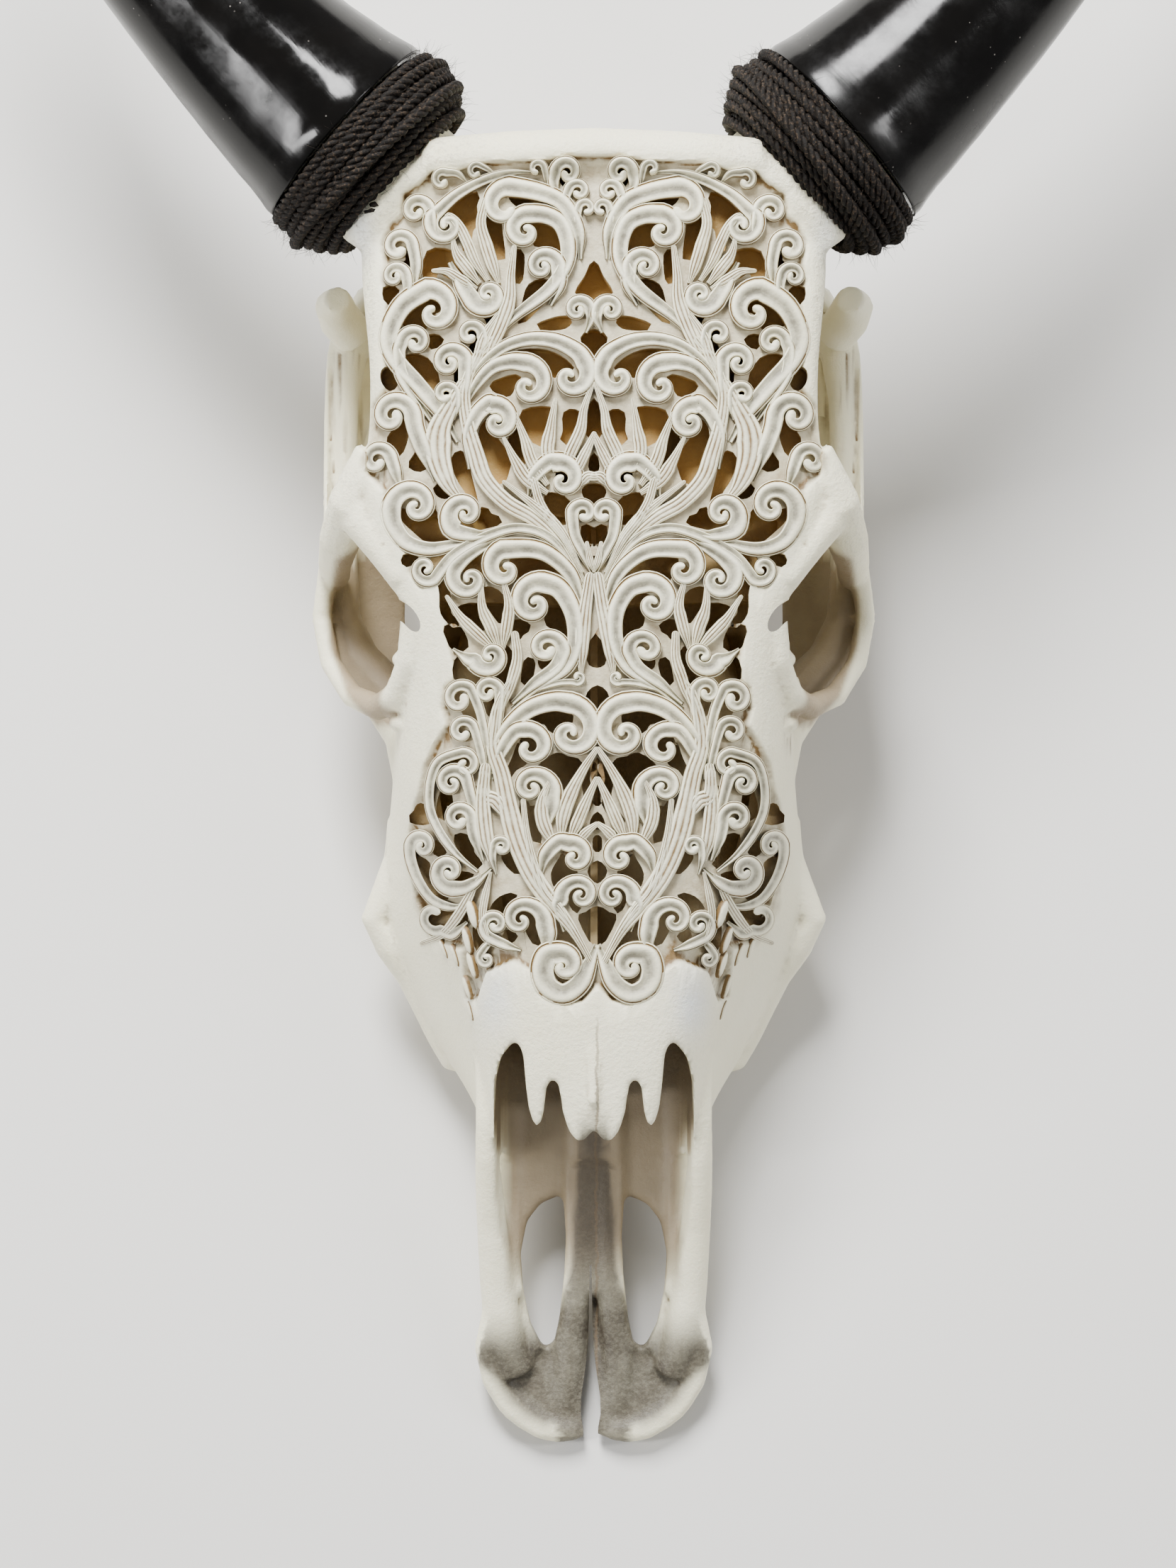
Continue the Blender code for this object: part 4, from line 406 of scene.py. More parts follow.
# The wall under each eye: distance along the skull, then (out, depth) of its rim, its middle and its root
ORBIT_WALL = (
    (14, (70, -60), (69, -68), (66, -78)),
    (24, (81, -64), (76, -76), (68, -86)),
    (36, (94, -68), (85, -84), (68, -94)),
    (50, (103.5, -70), (91, -89), (70, -100)),
    (64, (107, -70), (92, -91), (73, -103)),
    (78, (106, -68), (92, -89), (71, -102)),
    (92, (103, -66), (92, -84), (72, -98)),
    (108, (103, -70), (96, -84), (78, -98)),
    (130, (103, -76), (97, -87), (83, -98)),
    (155, (103, -78), (97, -88), (82, -98)),
    (178, (101, -78), (95, -88), (76, -98)),
)
ORBIT_BULGE = Vector((1.5, -1.5))
ORBIT_UNDERSIDE = Vector((1.4, -4.6))


def bone_bridges(into):
    """The free-standing bones round the eye and the temple."""
    # Orbit rim: a bony ring round the eye that faces out and forward
    for side in (1, -1):
        ring = []
        for k in range(13):
            turn = 2 * math.pi * k / 12
            along, up = math.cos(turn), math.sin(turn)
            out = 84.5 + 19.5 * along - 3.5 * max(0, -up) ** 2
            depth = -42 - 27 * along
            ring.append((side * out, 64 + 35 * up, depth, 5.2 - 1.4 * along))
        tube("orbit_rim", ring, into)
    # The eye's lower wall and the arch's inner face, one curved sheet from the cheek back to the jaw joint
    for side in (1, -1):
        sheet = []
        for y, *levels in ORBIT_WALL:
            edge, middle, root = (Vector(p) for p in levels)
            path = [edge, (edge + middle) / 2 + ORBIT_BULGE, middle, (root + middle) / 2 + ORBIT_BULGE, root]
            under = [p + ORBIT_UNDERSIDE for p in reversed(path)]
            sheet.append([(side * p.x * MM, y * MM, p.y * MM) for p in path + under])
        smooth(loft("orbit_wall", sheet, into), 1)
    mirrored_tube("cheek_edge", [(70, -14, -68, 9), (71.5, -29, -70, 9), (76.5, -41, -72, 8.5),
                                 (83.2, -51.5, -73, 6.2), (77, -61, -75, 7.5), (68.5, -72, -78, 8),
                                 (62, -85, -81, 8), (57, -95, -83, 8.2), (52, -104, -84, 8.2),
                                 (46, -107, -84, 6)], into)
    # Cheek bone below the eye, running back as the zygomatic arch to the jaw joint
    mirrored_tube("cheek_bone", [(68, 18, -66, 11), (78, 33, -72, 11), (91, 48, -78, 9), (98, 66, -82, 7)],
                  into)
    mirrored_tube("arch", [(97, 62, -80, 7.5), (97, 90, -80, 6), (96, 120, -82, 5), (96, 148, -84, 5.5),
                           (95, 168, -86, 8), (84, 182, -88, 12), (66, 190, -90, 14)], into)
    mirrored_tube("jaw_joint_knob",
                  [(92, 172, -76, 8), (97, 178, -68, 8.5), (98.5, 182, -60, 8), (97, 184, -53, 5.5)], into)
    mirrored_tube("brow_edge", [(70, 76, -13, 6), (78, 87, -15, 6.5), (85, 97, -18, 8), (87, 108, -20, 9)],
                  into)
    # Brow, the frontal bone's process above and behind the eye
    mirrored_tube("brow", [(80, 122, -16, 9), (90, 104, -20, 9), (95, 92, -34, 8), (98, 84, -52, 6.5),
                           (99, 80, -70, 6)],
                  into)


def bone_cutters(into):
    """Everything that is open in the skull, as one cutter."""
    smooth(loft("nasal_hollow", section_rings(HOLLOW), into, mirrored=True), 1)
    mirrored_ellipsoid("eye_socket", (92, 66, -50), (32, 30, 33), into, turn=(0, 35, 0))
    mirrored_ellipsoid("temple_hollow", (88, 140, -62), (26, 34, 38), into)
    mirrored_ellipsoid("temple_hollow_low", (84, 120, -100), (26, 50, 30), into)
    ellipsoid("foramen", (0, 240, -112), (15, 34, 13), into)
    ellipsoid("choana", (0, 46, -108), (17, 44, 18), into)
    # The two gaps in the palate behind the front teeth
    gap = ((11.7, -156.5), (20.3, -160), (25.6, -167), (28, -179.5), (27, -194), (24.2, -206.5),
           (19.3, -216), (15.2, -214), (13.2, -204.5), (11.3, -188), (10.6, -172))
    mirrored_prism("palate_gap", gap, -100, -30, into)
    # The nose opening: side notches, spikes and the rounded tips of the nasal bones
    notch = ((28.9, -94), (34.5, -101), (36.6, -110), (37.5, -125), (37.5, -136), (37, -150), (35, -168),
             (0, -168), (0, -127.4), (2.3, -130.5), (5.5, -133.1), (9.4, -128), (11.7, -120.4), (13, -111),
             (15.3, -108.4), (17.4, -111), (18.7, -121.7), (21.3, -130.5), (24.4, -118.6), (25.7, -106),
             (26.3, -99))
    mirrored_prism("nose_opening", notch, -40, 20, into)
    loft("nose_floor", section_rings(NOSE_FLOOR), into, mirrored=True)
    loft("nose_front", section_rings(NOSE_FRONT), into, mirrored=True)
    eye_edge = ((66.5, 57), (68, 64), (73, 70.5), (80, 79), (86, 87), (100, 88), (104, 66), (98, 44),
                (78, 38), (74, 48), (72, 53))
    mirrored_prism("eye_edge", eye_edge, -45, 5, into)
    mirrored_ellipsoid("tear_pit", (68.5, 61, -34), (4, 5, 22), into, turn=(0, 0, 24))


def regrown(obj, voxel, rounds, into):
    """Grows overlapping masses into one skin, evens it, and returns the plain mesh."""
    remesh = obj.modifiers.new("Grow", "REMESH")
    remesh.mode = "VOXEL"
    remesh.voxel_size = voxel
    remesh.use_smooth_shade = True
    ease = obj.modifiers.new("Ease", "SMOOTH")
    ease.factor = 0.5
    ease.iterations = rounds
    return frozen(obj, into)


def carve_off(obj, cutter, into):
    """Takes the cutter's space out of a mesh."""
    boolean = obj.modifiers.new("Carve", "BOOLEAN")
    boolean.operation = "DIFFERENCE"
    boolean.solver = "MANIFOLD"
    boolean.object = cutter
    made = frozen(obj, into)
    bpy.data.objects.remove(cutter)
    return made


def largest_body(obj):
    """Clears the loose crumbs that cutting leaves, so that one body stays."""
    bm = bmesh.new()
    bm.from_mesh(obj.data)
    seen = set()
    bodies = []
    for first in bm.verts:
        if first in seen:
            continue
        body = [first]
        seen.add(first)
        for vert in body:
            for edge in vert.link_edges:
                other = edge.other_vert(vert)
                if other not in seen:
                    seen.add(other)
                    body.append(other)
        bodies.append(body)
    bodies.sort(key=len)
    for crumb in bodies[:-1]:
        bmesh.ops.delete(bm, geom=crumb, context="VERTS")
    bm.to_mesh(obj.data)
    bm.free()


def points_of(mesh):
    """A mesh's vertices as rows of millimetres."""
    co = np.empty(len(mesh.vertices) * 3)
    mesh.vertices.foreach_get("co", co)
    return co.reshape(-1, 3) / MM


def put_points(mesh, points):
    mesh.vertices.foreach_set("co", (points * MM).ravel())
    mesh.update()


def ease_between(low, high, value):
    t = np.clip((value - low) / (high - low), 0, 1)
    return t * t * (3 - 2 * t)


def paint_field(mesh, name, values):
    """Stores one number a vertex, which the material reads."""
    field = mesh.attributes.new(name, "FLOAT", "POINT")
    field.data.foreach_set("value", np.asarray(values, dtype=np.float32))


def edge_distance(points, outline):
    """Distance from each point to a closed outline in millimetres, and whether it is inside it."""
    x, y = points[:, 0], points[:, 1]
    inside = np.zeros(len(points), bool)
    nearest = np.full(len(points), 1e9)
    for (ax, ay), (bx, by) in zip(outline, outline[1:] + outline[:1]):
        dx, dy = bx - ax, by - ay
        t = np.clip(((x - ax) * dx + (y - ay) * dy) / max(dx * dx + dy * dy, 1e-9), 0, 1)
        nearest = np.minimum(nearest, np.hypot(x - ax - t * dx, y - ay - t * dy))
        crosses = (ay > y) != (by > y)
        if ay != by:
            inside ^= crosses & (x < (bx - ax) * (y - ay) / (by - ay) + ax)
    return nearest, inside


# The thin walls that part the sinus: one along it and two across
SEPTA = (
    ((1, 66), (-1, 110), (2, 150), (0, 190), (1, 222)),
    ((-72, 150), (-40, 140), (0, 146), (36, 139), (72, 151)),
    ((-70, 98), (-34, 104), (0, 98), (38, 105), (70, 99)),
)
SINUS_FLOOR = -20


def inner_bones(into):
    """What shows through the openings: the sinus's uneven floor and walls, the nose's scrolls and wall."""
    floor_edge = ((0, 66), (60, 68), (72, 100), (75, 150), (73, 200), (60, 219), (0, 221))
    mirrored_prism("sinus_floor", floor_edge, -44, SINUS_FLOOR, into)
    chance = random.Random(3)
    for _ in range(60):
        spot = (chance.uniform(-62, 62), chance.uniform(74, 214), SINUS_FLOOR)
        radii = (chance.uniform(4, 9), chance.uniform(5, 12), chance.uniform(2, 5.5))
        ellipsoid("cell", spot, radii, into, sides=10)
    for line in SEPTA:
        tube("septum", [(x, y, -8, 1.6) for x, y in line], into, 8)
        outline = [(x - 0.9, y - 0.9) for x, y in line] + [(x + 0.9, y + 0.9) for x, y in reversed(line)]
        prism("septum", outline, -24, -6, into)
    mirrored_tube("upper_turbinate",
                  [(15, 62, -30, 6), (17, 30, -31, 9), (17, -10, -33, 10), (15, -45, -35, 9),
                   (12, -80, -38, 5)], into)
    mirrored_tube("lower_turbinate",
                  [(44, 56, -40, 6), (49, 20, -46, 11), (48, -20, -48, 11), (42, -55, -48, 9),
                   (32, -84, -50, 5)], into)
    prism("nose_partition", ((-1.3, -118), (1.3, -118), (1.3, 68), (-1.3, 68)), -88, -9, into)


# The uneven little bones beside each eye: place, then radius
TEAR_BONES = ((70.5, 46, -30, 5.2), (72.2, 37.5, -31, 5), (70.4, 30, -30, 5.4), (72.5, 22.5, -34, 4.6))

made_skull = collection("carved_cow_skull")
masses = collection("bone_masses")
openings = collection("bone_openings")
workshop = collection("workshop")
bone_masses(masses)
grown = regrown(joined("grown_bone", masses, workshop), FIRST_GRAIN, 5, workshop)
outer_skin = BVHTree.FromObject(grown, bpy.context.evaluated_depsgraph_get())
bone_cutters(openings)
spaces = regrown(joined("open_spaces", openings, workshop), FIRST_GRAIN, 1, workshop)
grown = carve_off(grown, spaces, masses)
bone_bridges(masses)
inner_bones(masses)
for *centre, radius in TEAR_BONES:
    mirrored_ellipsoid("tear_bone", centre, (radius, radius * 0.72, 6), masses, turn=(0, 0, 20))
skull = regrown(joined("whole_bone", masses, workshop), LAST_GRAIN, 3, workshop)
largest_body(skull)

# The carved pattern is let into the forehead, so the bone inside its outline lies lower than the rest.
PATTERN_EDGE = (
    (0, 231), (-10, 231.5), (-16, 230), (-21, 229.5), (-38, 229), (-43, 228.5), (-50, 226), (-60, 226),
    (-64, 222), (-71, 217.5), (-72, 210), (-76, 207), (-79.5, 200), (-78, 191.5), (-79, 185), (-77, 178),
    (-78.5, 168), (-78, 155), (-77, 147), (-83, 140), (-84, 132), (-84, 127), (-87, 120), (-84, 113.5),
    (-78, 108), (-77.5, 98), (-74, 90), (-69.5, 84), (-69, 78), (-64, 71), (-57, 74), (-55.5, 68),
    (-55, 60), (-54, 50), (-51, 40), (-56, 36), (-57, 28), (-55, 22), (-60, 15), (-64, 7), (-66, -3),
    (-68, -8), (-70, -17), (-71, -28), (-69, -38), (-68, -48), (-64, -56), (-57, -60), (-50, -62),
    (-49, -80), (-44, -82), (-40, -70), (-30, -66), (-21, -70), (-20.5, -77), (-12, -82), (-5, -80.5),
    (0, -75),
)
GROUND_DROP = 2.8
LEAN = 1.25


def leaned(x, y, side):
    """A pattern point's real place. The carving's middle line drifts to the right below the eyes."""
    low = min(1.0, max(0.0, (65 - y) / 25))
    s = min(1.0, max(0.0, (abs(x) - 8) / 17))
    s = s * s * (3 - 2 * s)
    if side < 0:
        return x + LEAN * low * (1 - s)
    return -x + LEAN * low * (1 + s)


left_edge = [(leaned(x, y, -1), y) for x, y in PATTERN_EDGE]
right_edge = [(leaned(x, y, 1), y) for x, y in PATTERN_EDGE]
pattern_edge = left_edge + right_edge[-1:0:-1]
points = points_of(skull.data)
normals = np.empty(len(points) * 3)
skull.data.vertices.foreach_get("normal", normals)
normals = normals.reshape(-1, 3)
nearest, inside = edge_distance(points, pattern_edge)
front = ease_between(0.1, 0.45, normals[:, 2]) * (points[:, 2] > -45)
near_skin = np.zeros(len(points))
for i in np.nonzero(inside & (front > 0))[0]:
    found = outer_skin.find_nearest(Vector(points[i]) * MM)
    near_skin[i] = 1.0 if found[3] < 1.2 * MM else 0.0
drop = GROUND_DROP * ease_between(0.0, 1.8, nearest) * inside * front * near_skin
points -= normals * drop[:, None]
put_points(skull.data, points)


SCROLLS = (
    # Round the poll
    (((-13, 216), (-15, 221)), (-9.5, 224.7, 5, 180, -330, 1.5), (3, 4.5, 2.4)),
    (((-9, 210), (-10.5, 215)), (-5.6, 218, 4, 170, -300, 1.4), (2.5, 3.6, 2.2)),
    (((-6, 204), (-6.4, 208)), (-2.8, 211.5, 3.1, 180, -260, 1.4), (2.5, 2.8, 2)),
    (((-17, 220), (-17.5, 224)), (-21, 226, 3, 0, 250, 1.2), (2, 2.4, 1.6)),
    (((-20, 225), (-30, 225), (-40, 222.5), (-50, 217.5), (-57.5, 211)), (-54, 205.5, 6.6, 150, 390, 1.3),
     (1.5, 5.6, 2.2)),
    (((-5, 193), (-5.5, 203), (-11, 213.5), (-20, 218)), (-32.5, 212, 8.2, 80, 240, 2.6), (4, 7, 3)),
    (((-40, 160), (-30, 171), (-17, 181), (-10.5, 190), (-9.3, 198), (-12, 206), (-18, 209.5)),
     (-25, 203, 6.8, 90, 350, 1.4), (4, 6.6, 2.2)),
    (((-16, 176), (-12.8, 183)), (-19, 190, 6.4, 0, 400, 1.2), (4, 5.6, 2.2)),
    (((-58, 199), (-59.5, 207)), (-65.5, 211, 5.4, 10, 330, 1.5), (3, 4.4, 2.4)),
    (((-66, 182), (-65.2, 191)), (-72, 198, 5.6, 5, 290, 2.2), (3.5, 4.5, 3.4)),
    (((-70, 177), (-68.3, 183)), (-73.4, 187, 4.6, 0, 380, 1.2), (3, 4, 1.9)),
    (((-46, 221), (-50, 224.5)), (-56, 222.2, 3.4, 60, 260, 1.4), (1.5, 2.8, 2.2)),
    (((-36, 224.5), (-40, 226.5)), (-43.5, 225.2, 2.8, 60, 250, 1.2), (1.4, 2.2, 1.6)),
    (((-50, 126), (-56, 136), (-65, 147), (-73, 156), (-76, 165), (-71, 176)),
     (-59, 173.5, 9.2, 105, -350, 1.5), (5, 7.6, 2.4)),
    # The upper leaf's curl
    (((-53, 192), (-49, 184)), (-39, 179.9, 6.4, 200, 420, 1.2), (4, 6.4, 2)),
    # Beside the brow
    (((-48.5, 136), (-47.5, 145), (-47, 153)), (-53.2, 154.8, 6.4, 15, 400, 1.3), (3.5, 5.4, 2.2)),
    (((-51.5, 134), (-50.5, 139)), (-54.6, 143.3, 4.1, -10, 300, 1.6), (3, 4, 2.4)),
    (((-60, 134), (-66, 142.5), (-71, 151), (-72, 159)), (-65.5, 162.5, 5.5, 180, -340, 1.5), (4, 4.6, 2.6)),
    (((-3, 166), (-0.8, 171)), (-6, 174, 5, 0, 380, 1.2), (3, 4.5, 2)),
    (((-43.5, 156), (-40.5, 162)), (-45.5, 165.3, 4.8, -10, 300, 1.6), (3, 4, 2.6)),
    (((-58, 112), (-62, 122), (-65, 130)), (-74.3, 135.5, 8.3, -5, 380, 1.8), (5, 6.2, 3)),
    (((-71, 109), (-73, 116)), (-80.2, 119.5, 5.8, 10, 310, 2), (4, 5, 3)),
    (((-40, 91.5), (-50, 88.5), (-60, 86.5), (-69, 89), (-74, 95.5)), (-65.5, 102, 9.6, 185, -430, 1.2),
     (3, 7, 2.2)),
    (((-36, 93), (-43, 91.5), (-50, 92.5)), (-47, 99.5, 7.4, 225, -400, 1.2), (3, 6.8, 2)),
    # The two great volutes that meet in the middle of the forehead
    (((-49, 140), (-43, 152), (-34, 160.3), (-24, 163.7), (-14, 163), (-6, 159)),
     (-9, 149.5, 8, 40, -340, 1.3), (2.5, 6.6, 2.2)),
    (((-49, 136), (-44, 146), (-38, 153), (-31, 155.5)), (-24.5, 146.2, 9, 95, -390, 1.3), (3, 6.6, 2.2)),
    (((-45.5, 116), (-46.5, 127), (-43.5, 135.5), (-39, 140)), (-35.5, 133, 7, 105, -400, 1.2),
     (4, 6.4, 2.2)),
    (((-24, 106), (-22.5, 113), (-17, 118.5)), (-11.5, 111.5, 7.4, 105, -340, 1.3), (4, 7, 2.2)),
    (((-0.5, 77), (-3.5, 84), (-7, 91), (-8, 97)), (-3.6, 99.5, 4.5, 170, -280, 1.5), (3, 4.4, 2.4)),
    # Between the eyes
    (((-3, 70), (-10, 84), (-18, 91.5), (-28, 94), (-38, 91.5), (-47, 87), (-53, 82.5)),
     (-62, 79.5, 5.4, -50, -370, 1.2), (3, 4.4, 2)),
    (((-3.5, 62), (-7, 75), (-14, 83), (-22, 86.7)), (-32.3, 79, 7.8, 100, 340, 1.3), (4, 6.6, 2.3)),
    (((-34, 90), (-41, 87.5), (-47, 84)), (-45.5, 75.5, 7.4, 140, 400, 1.3), (2.5, 6, 2)),
    (((-30, 28), (-20, 36.5), (-11.5, 43), (-7.5, 51), (-7, 60), (-9, 67), (-13, 72.5)),
     (-21.5, 66.3, 8.8, 70, 410, 1.3), (4, 7.2, 2.2)),
    (((-30, 30), (-22, 37), (-15, 42.5), (-12, 48)), (-17.8, 50, 6, 0, 330, 2), (4, 5, 3)),
    (((-52, 50), (-47, 46.5)), (-38, 47.5, 6.5, 200, 400, 1.2), (2.5, 5.8, 2)),
    (((-26, 33), (-16, 36.8), (-10.5, 37.6)), (-7, 39.3, 2.2, 250, 260, 0.9), (2, 2.4, 1.8)),
    # The nose: the volutes that meet in the middle, and the ones beside them
    (((-38, 2), (-36, 14), (-31, 22), (-24, 28), (-16, 30.8)), (-10, 19, 11.3, 90, -440, 1.3), (4, 7, 2.2)),
    (((-37, 4), (-34, 13), (-29.5, 19.5)), (-23.7, 13.5, 7.3, 100, -310, 1.9), (4, 5.6, 2.4)),
    (((-18, -17), (-15.8, -9)), (-23.2, -1.2, 7.8, -20, 420, 1.3), (3.5, 6, 2.2)),
    (((-37, 10), (-35.5, 21), (-34.6, 30)), (-39.2, 34, 4.8, 10, 340, 1.4), (2.5, 4, 2.3)),
    (((-38.5, 4), (-39.5, 15), (-41.5, 26), (-44.5, 34)), (-49.5, 31.5, 5.8, 50, 320, 1.8), (2.5, 4, 3)),
    (((-39.5, 1), (-41, 10), (-43, 18)), (-48.5, 19.6, 4.7, 30, 290, 1.8), (2.5, 3.6, 2.6)),
    (((-43, -32), (-51, -25.5), (-57.5, -17), (-61, -8), (-60.5, 2), (-57, 9)),
     (-47.5, 7.2, 5, 100, -340, 1.2), (3, 3.6, 2)),
    (((-42, -17), (-44.5, -7), (-46.5, 1)), (-52.6, 0.5, 6, 30, 390, 1.2), (3, 5, 2)),
    (((-41, -28), (-44, -19)), (-50, -12.5, 5.3, -10, 330, 2), (3.5, 4.6, 3)),
    (((-36, -33), (-37.5, -27)), (-34, -22.7, 3.2, 185, -310, 1.4), (2, 3, 2.4)),
    (((-38, -31), (-43, -35.5), (-48, -38.3)), (-53.5, -32, 6.8, -80, -420, 1.3), (3, 6, 2.3)),
    (((-46, -44), (-53, -45.5), (-60.5, -43), (-66, -36), (-69, -28)), (-64, -23, 5.2, 175, -400, 1.1),
     (3, 4.6, 2)),
    (((-47, -51), (-53, -56)), (-60, -50, 5.5, -60, -230, 3), (3, 4, 3)),
    (((-20, -33), (-18.5, -26), (-14, -20.8)), (-8.4, -26.8, 6, 110, -330, 1.3), (4, 6, 2.3)),
    (((-12, -54), (-14.5, -45)), (-6, -40.8, 7.6, 190, -430, 1.2), (3, 5.4, 2)),
    (((0, -59), (-2.8, -66), (-6.5, -73.5), (-12.3, -77.2), (-17.8, -74.5), (-19.7, -68.5), (-18, -62.8)),
     (-12.3, -67, 5.6, 110, -300, 1.2), (6, 7.5, 2.2)),
    (((-18, -64), (-17.5, -56)), (-27, -50, 9, -10, 420, 1.2), (5, 6, 2)),
    (((-27, -61), (-32.5, -59.3)), (-36.3, -51.5, 5.6, 245, -390, 1.3), (3, 4, 2.2)),
    (((-37, -57), (-40.3, -60)), (-39.9, -64.5, 2.9, 150, 300, 1), (2.5, 2.8, 1.8)),
)

# Stems, flames and leaves: their points from root to tip, and their width at the root, middle and tip.
BLADES = (
    (((-2, -66), (-9, -53.5), (-16.5, -43), (-23.5, -32), (-28.5, -20), (-31.5, -8), (-34, 4), (-37, 14),
      (-36, 25), (-33, 34)),
     (6, 8, 4)),
    (((-6, 40), (-5.5, 48), (-4.5, 57), (-3, 66), (-1.5, 76)), (4, 6, 4)),
    (((-8, -56), (-13, -47), (-19, -39), (-22.5, -28), (-24.8, -17), (-26, -6)), (3, 3.4, 2)),
    (((-3, 72), (-12, 88), (-22, 97.5), (-32, 103.5), (-40, 112), (-43.5, 122), (-46.5, 133), (-47.5, 144),
      (-44, 155), (-38, 163)), (5, 6.4, 3)),
    (((-4, 78), (-12, 93), (-22, 102.5), (-33, 111)), (2, 4, 1.4)),
    (((-3, 74), (-10, 89), (-16, 97), (-20, 104), (-22, 111)), (2, 3.6, 3)),
    (((-46, 102), (-53, 109.5), (-57, 120), (-57, 130), (-53, 138.5), (-48.5, 147)), (4, 11, 4)),
    (((-42, 150), (-38, 160), (-34, 169), (-31, 178), (-30.5, 187), (-29.3, 197)), (4, 5.6, 2)),
    (((-48, 146), (-43, 156), (-40, 165), (-35.5, 172)), (3, 4.4, 2)),
    # Upper leaf
    (((-35, 184), (-37, 190), (-39.5, 198), (-41.5, 206), (-40, 214)), (4, 4.8, 3)),
    (((-39, 185), (-43.5, 192), (-46.5, 199), (-50, 206), (-53.5, 209), (-54.5, 205.5)), (4.5, 4, 1.6)),
    (((-42, 184), (-47, 190), (-50.5, 195), (-52, 201)), (4.5, 4.4, 1.4)),
    (((-43, 182), (-49, 185.5), (-54, 188.5), (-59, 188.8)), (4.5, 3.6, 1.4)),
    # Great leaf of the forehead
    (((-17, 107), (-24.5, 112), (-29, 119), (-33, 127)), (5, 5, 1.4)),
    (((-17, 110), (-22.5, 118), (-25.5, 127), (-29, 136)), (5, 4.6, 1.6)),
    (((-14, 115), (-17, 122), (-15.8, 131), (-14.2, 141)), (5, 5, 1.6)),
    (((-10, 115), (-9, 121), (-5, 130), (-3.6, 138), (-0.5, 147)), (5, 4.4, 1.6)),
    (((-8, 112), (-5, 118), (-2, 124), (0, 128.5)), (4.4, 4, 2)),
    (((-5, 110), (-2.5, 113), (0, 113)), (4, 4, 3.4)),
    (((0, 78), (-1.6, 83), (-2.6, 88.6)), (2, 2.6, 1.4)),
    # Leaf between the eyes
    (((-36, 49), (-43, 55.5), (-49, 61.5), (-54, 69)), (4.5, 4.6, 1.6)),
    (((-35, 50), (-38, 58), (-41, 65), (-41.5, 74)), (4.5, 4.4, 1.6)),
    (((-33.5, 50), (-32, 58), (-31.2, 66), (-33, 74)), (4.5, 4.8, 2)),
    (((-33.5, 28), (-30.5, 37), (-28.2, 46), (-29, 55)), (3, 4.6, 3)),
    (((-38, 8), (-36.6, 20), (-35, 30), (-31, 38)), (3, 4, 2)),
    # Leaf of the nose
    (((-15, -23), (-19, -14), (-19.5, -6), (-17, 1)), (5, 4.6, 1.4)),
    (((-13, -21), (-12.5, -12), (-9.6, -3), (-5.2, 5.5), (-0.4, 13)), (5, 5.2, 2)),
    (((-10, -20), (-7, -13), (-3.6, -5), (-0.4, 2)), (5, 4.4, 2)),
    (((-7, -20.5), (-3.6, -17), (-0.4, -14.5)), (4.4, 3.6, 2)),
    (((-38, -32), (-40.3, -42), (-41.2, -50), (-39, -58)), (3, 3.2, 2)),
    (((-42, -33), (-46.5, -42), (-51.5, -50), (-57.5, -56.5), (-65, -60)), (3.4, 4, 2)),
    (((-31, -14), (-36, -6), (-40, -4), (-40.5, 4)), (5, 6, 4)),
    (((-38, -28), (-40, -18), (-41, -6), (-40, 6)), (6, 6, 4)),
)

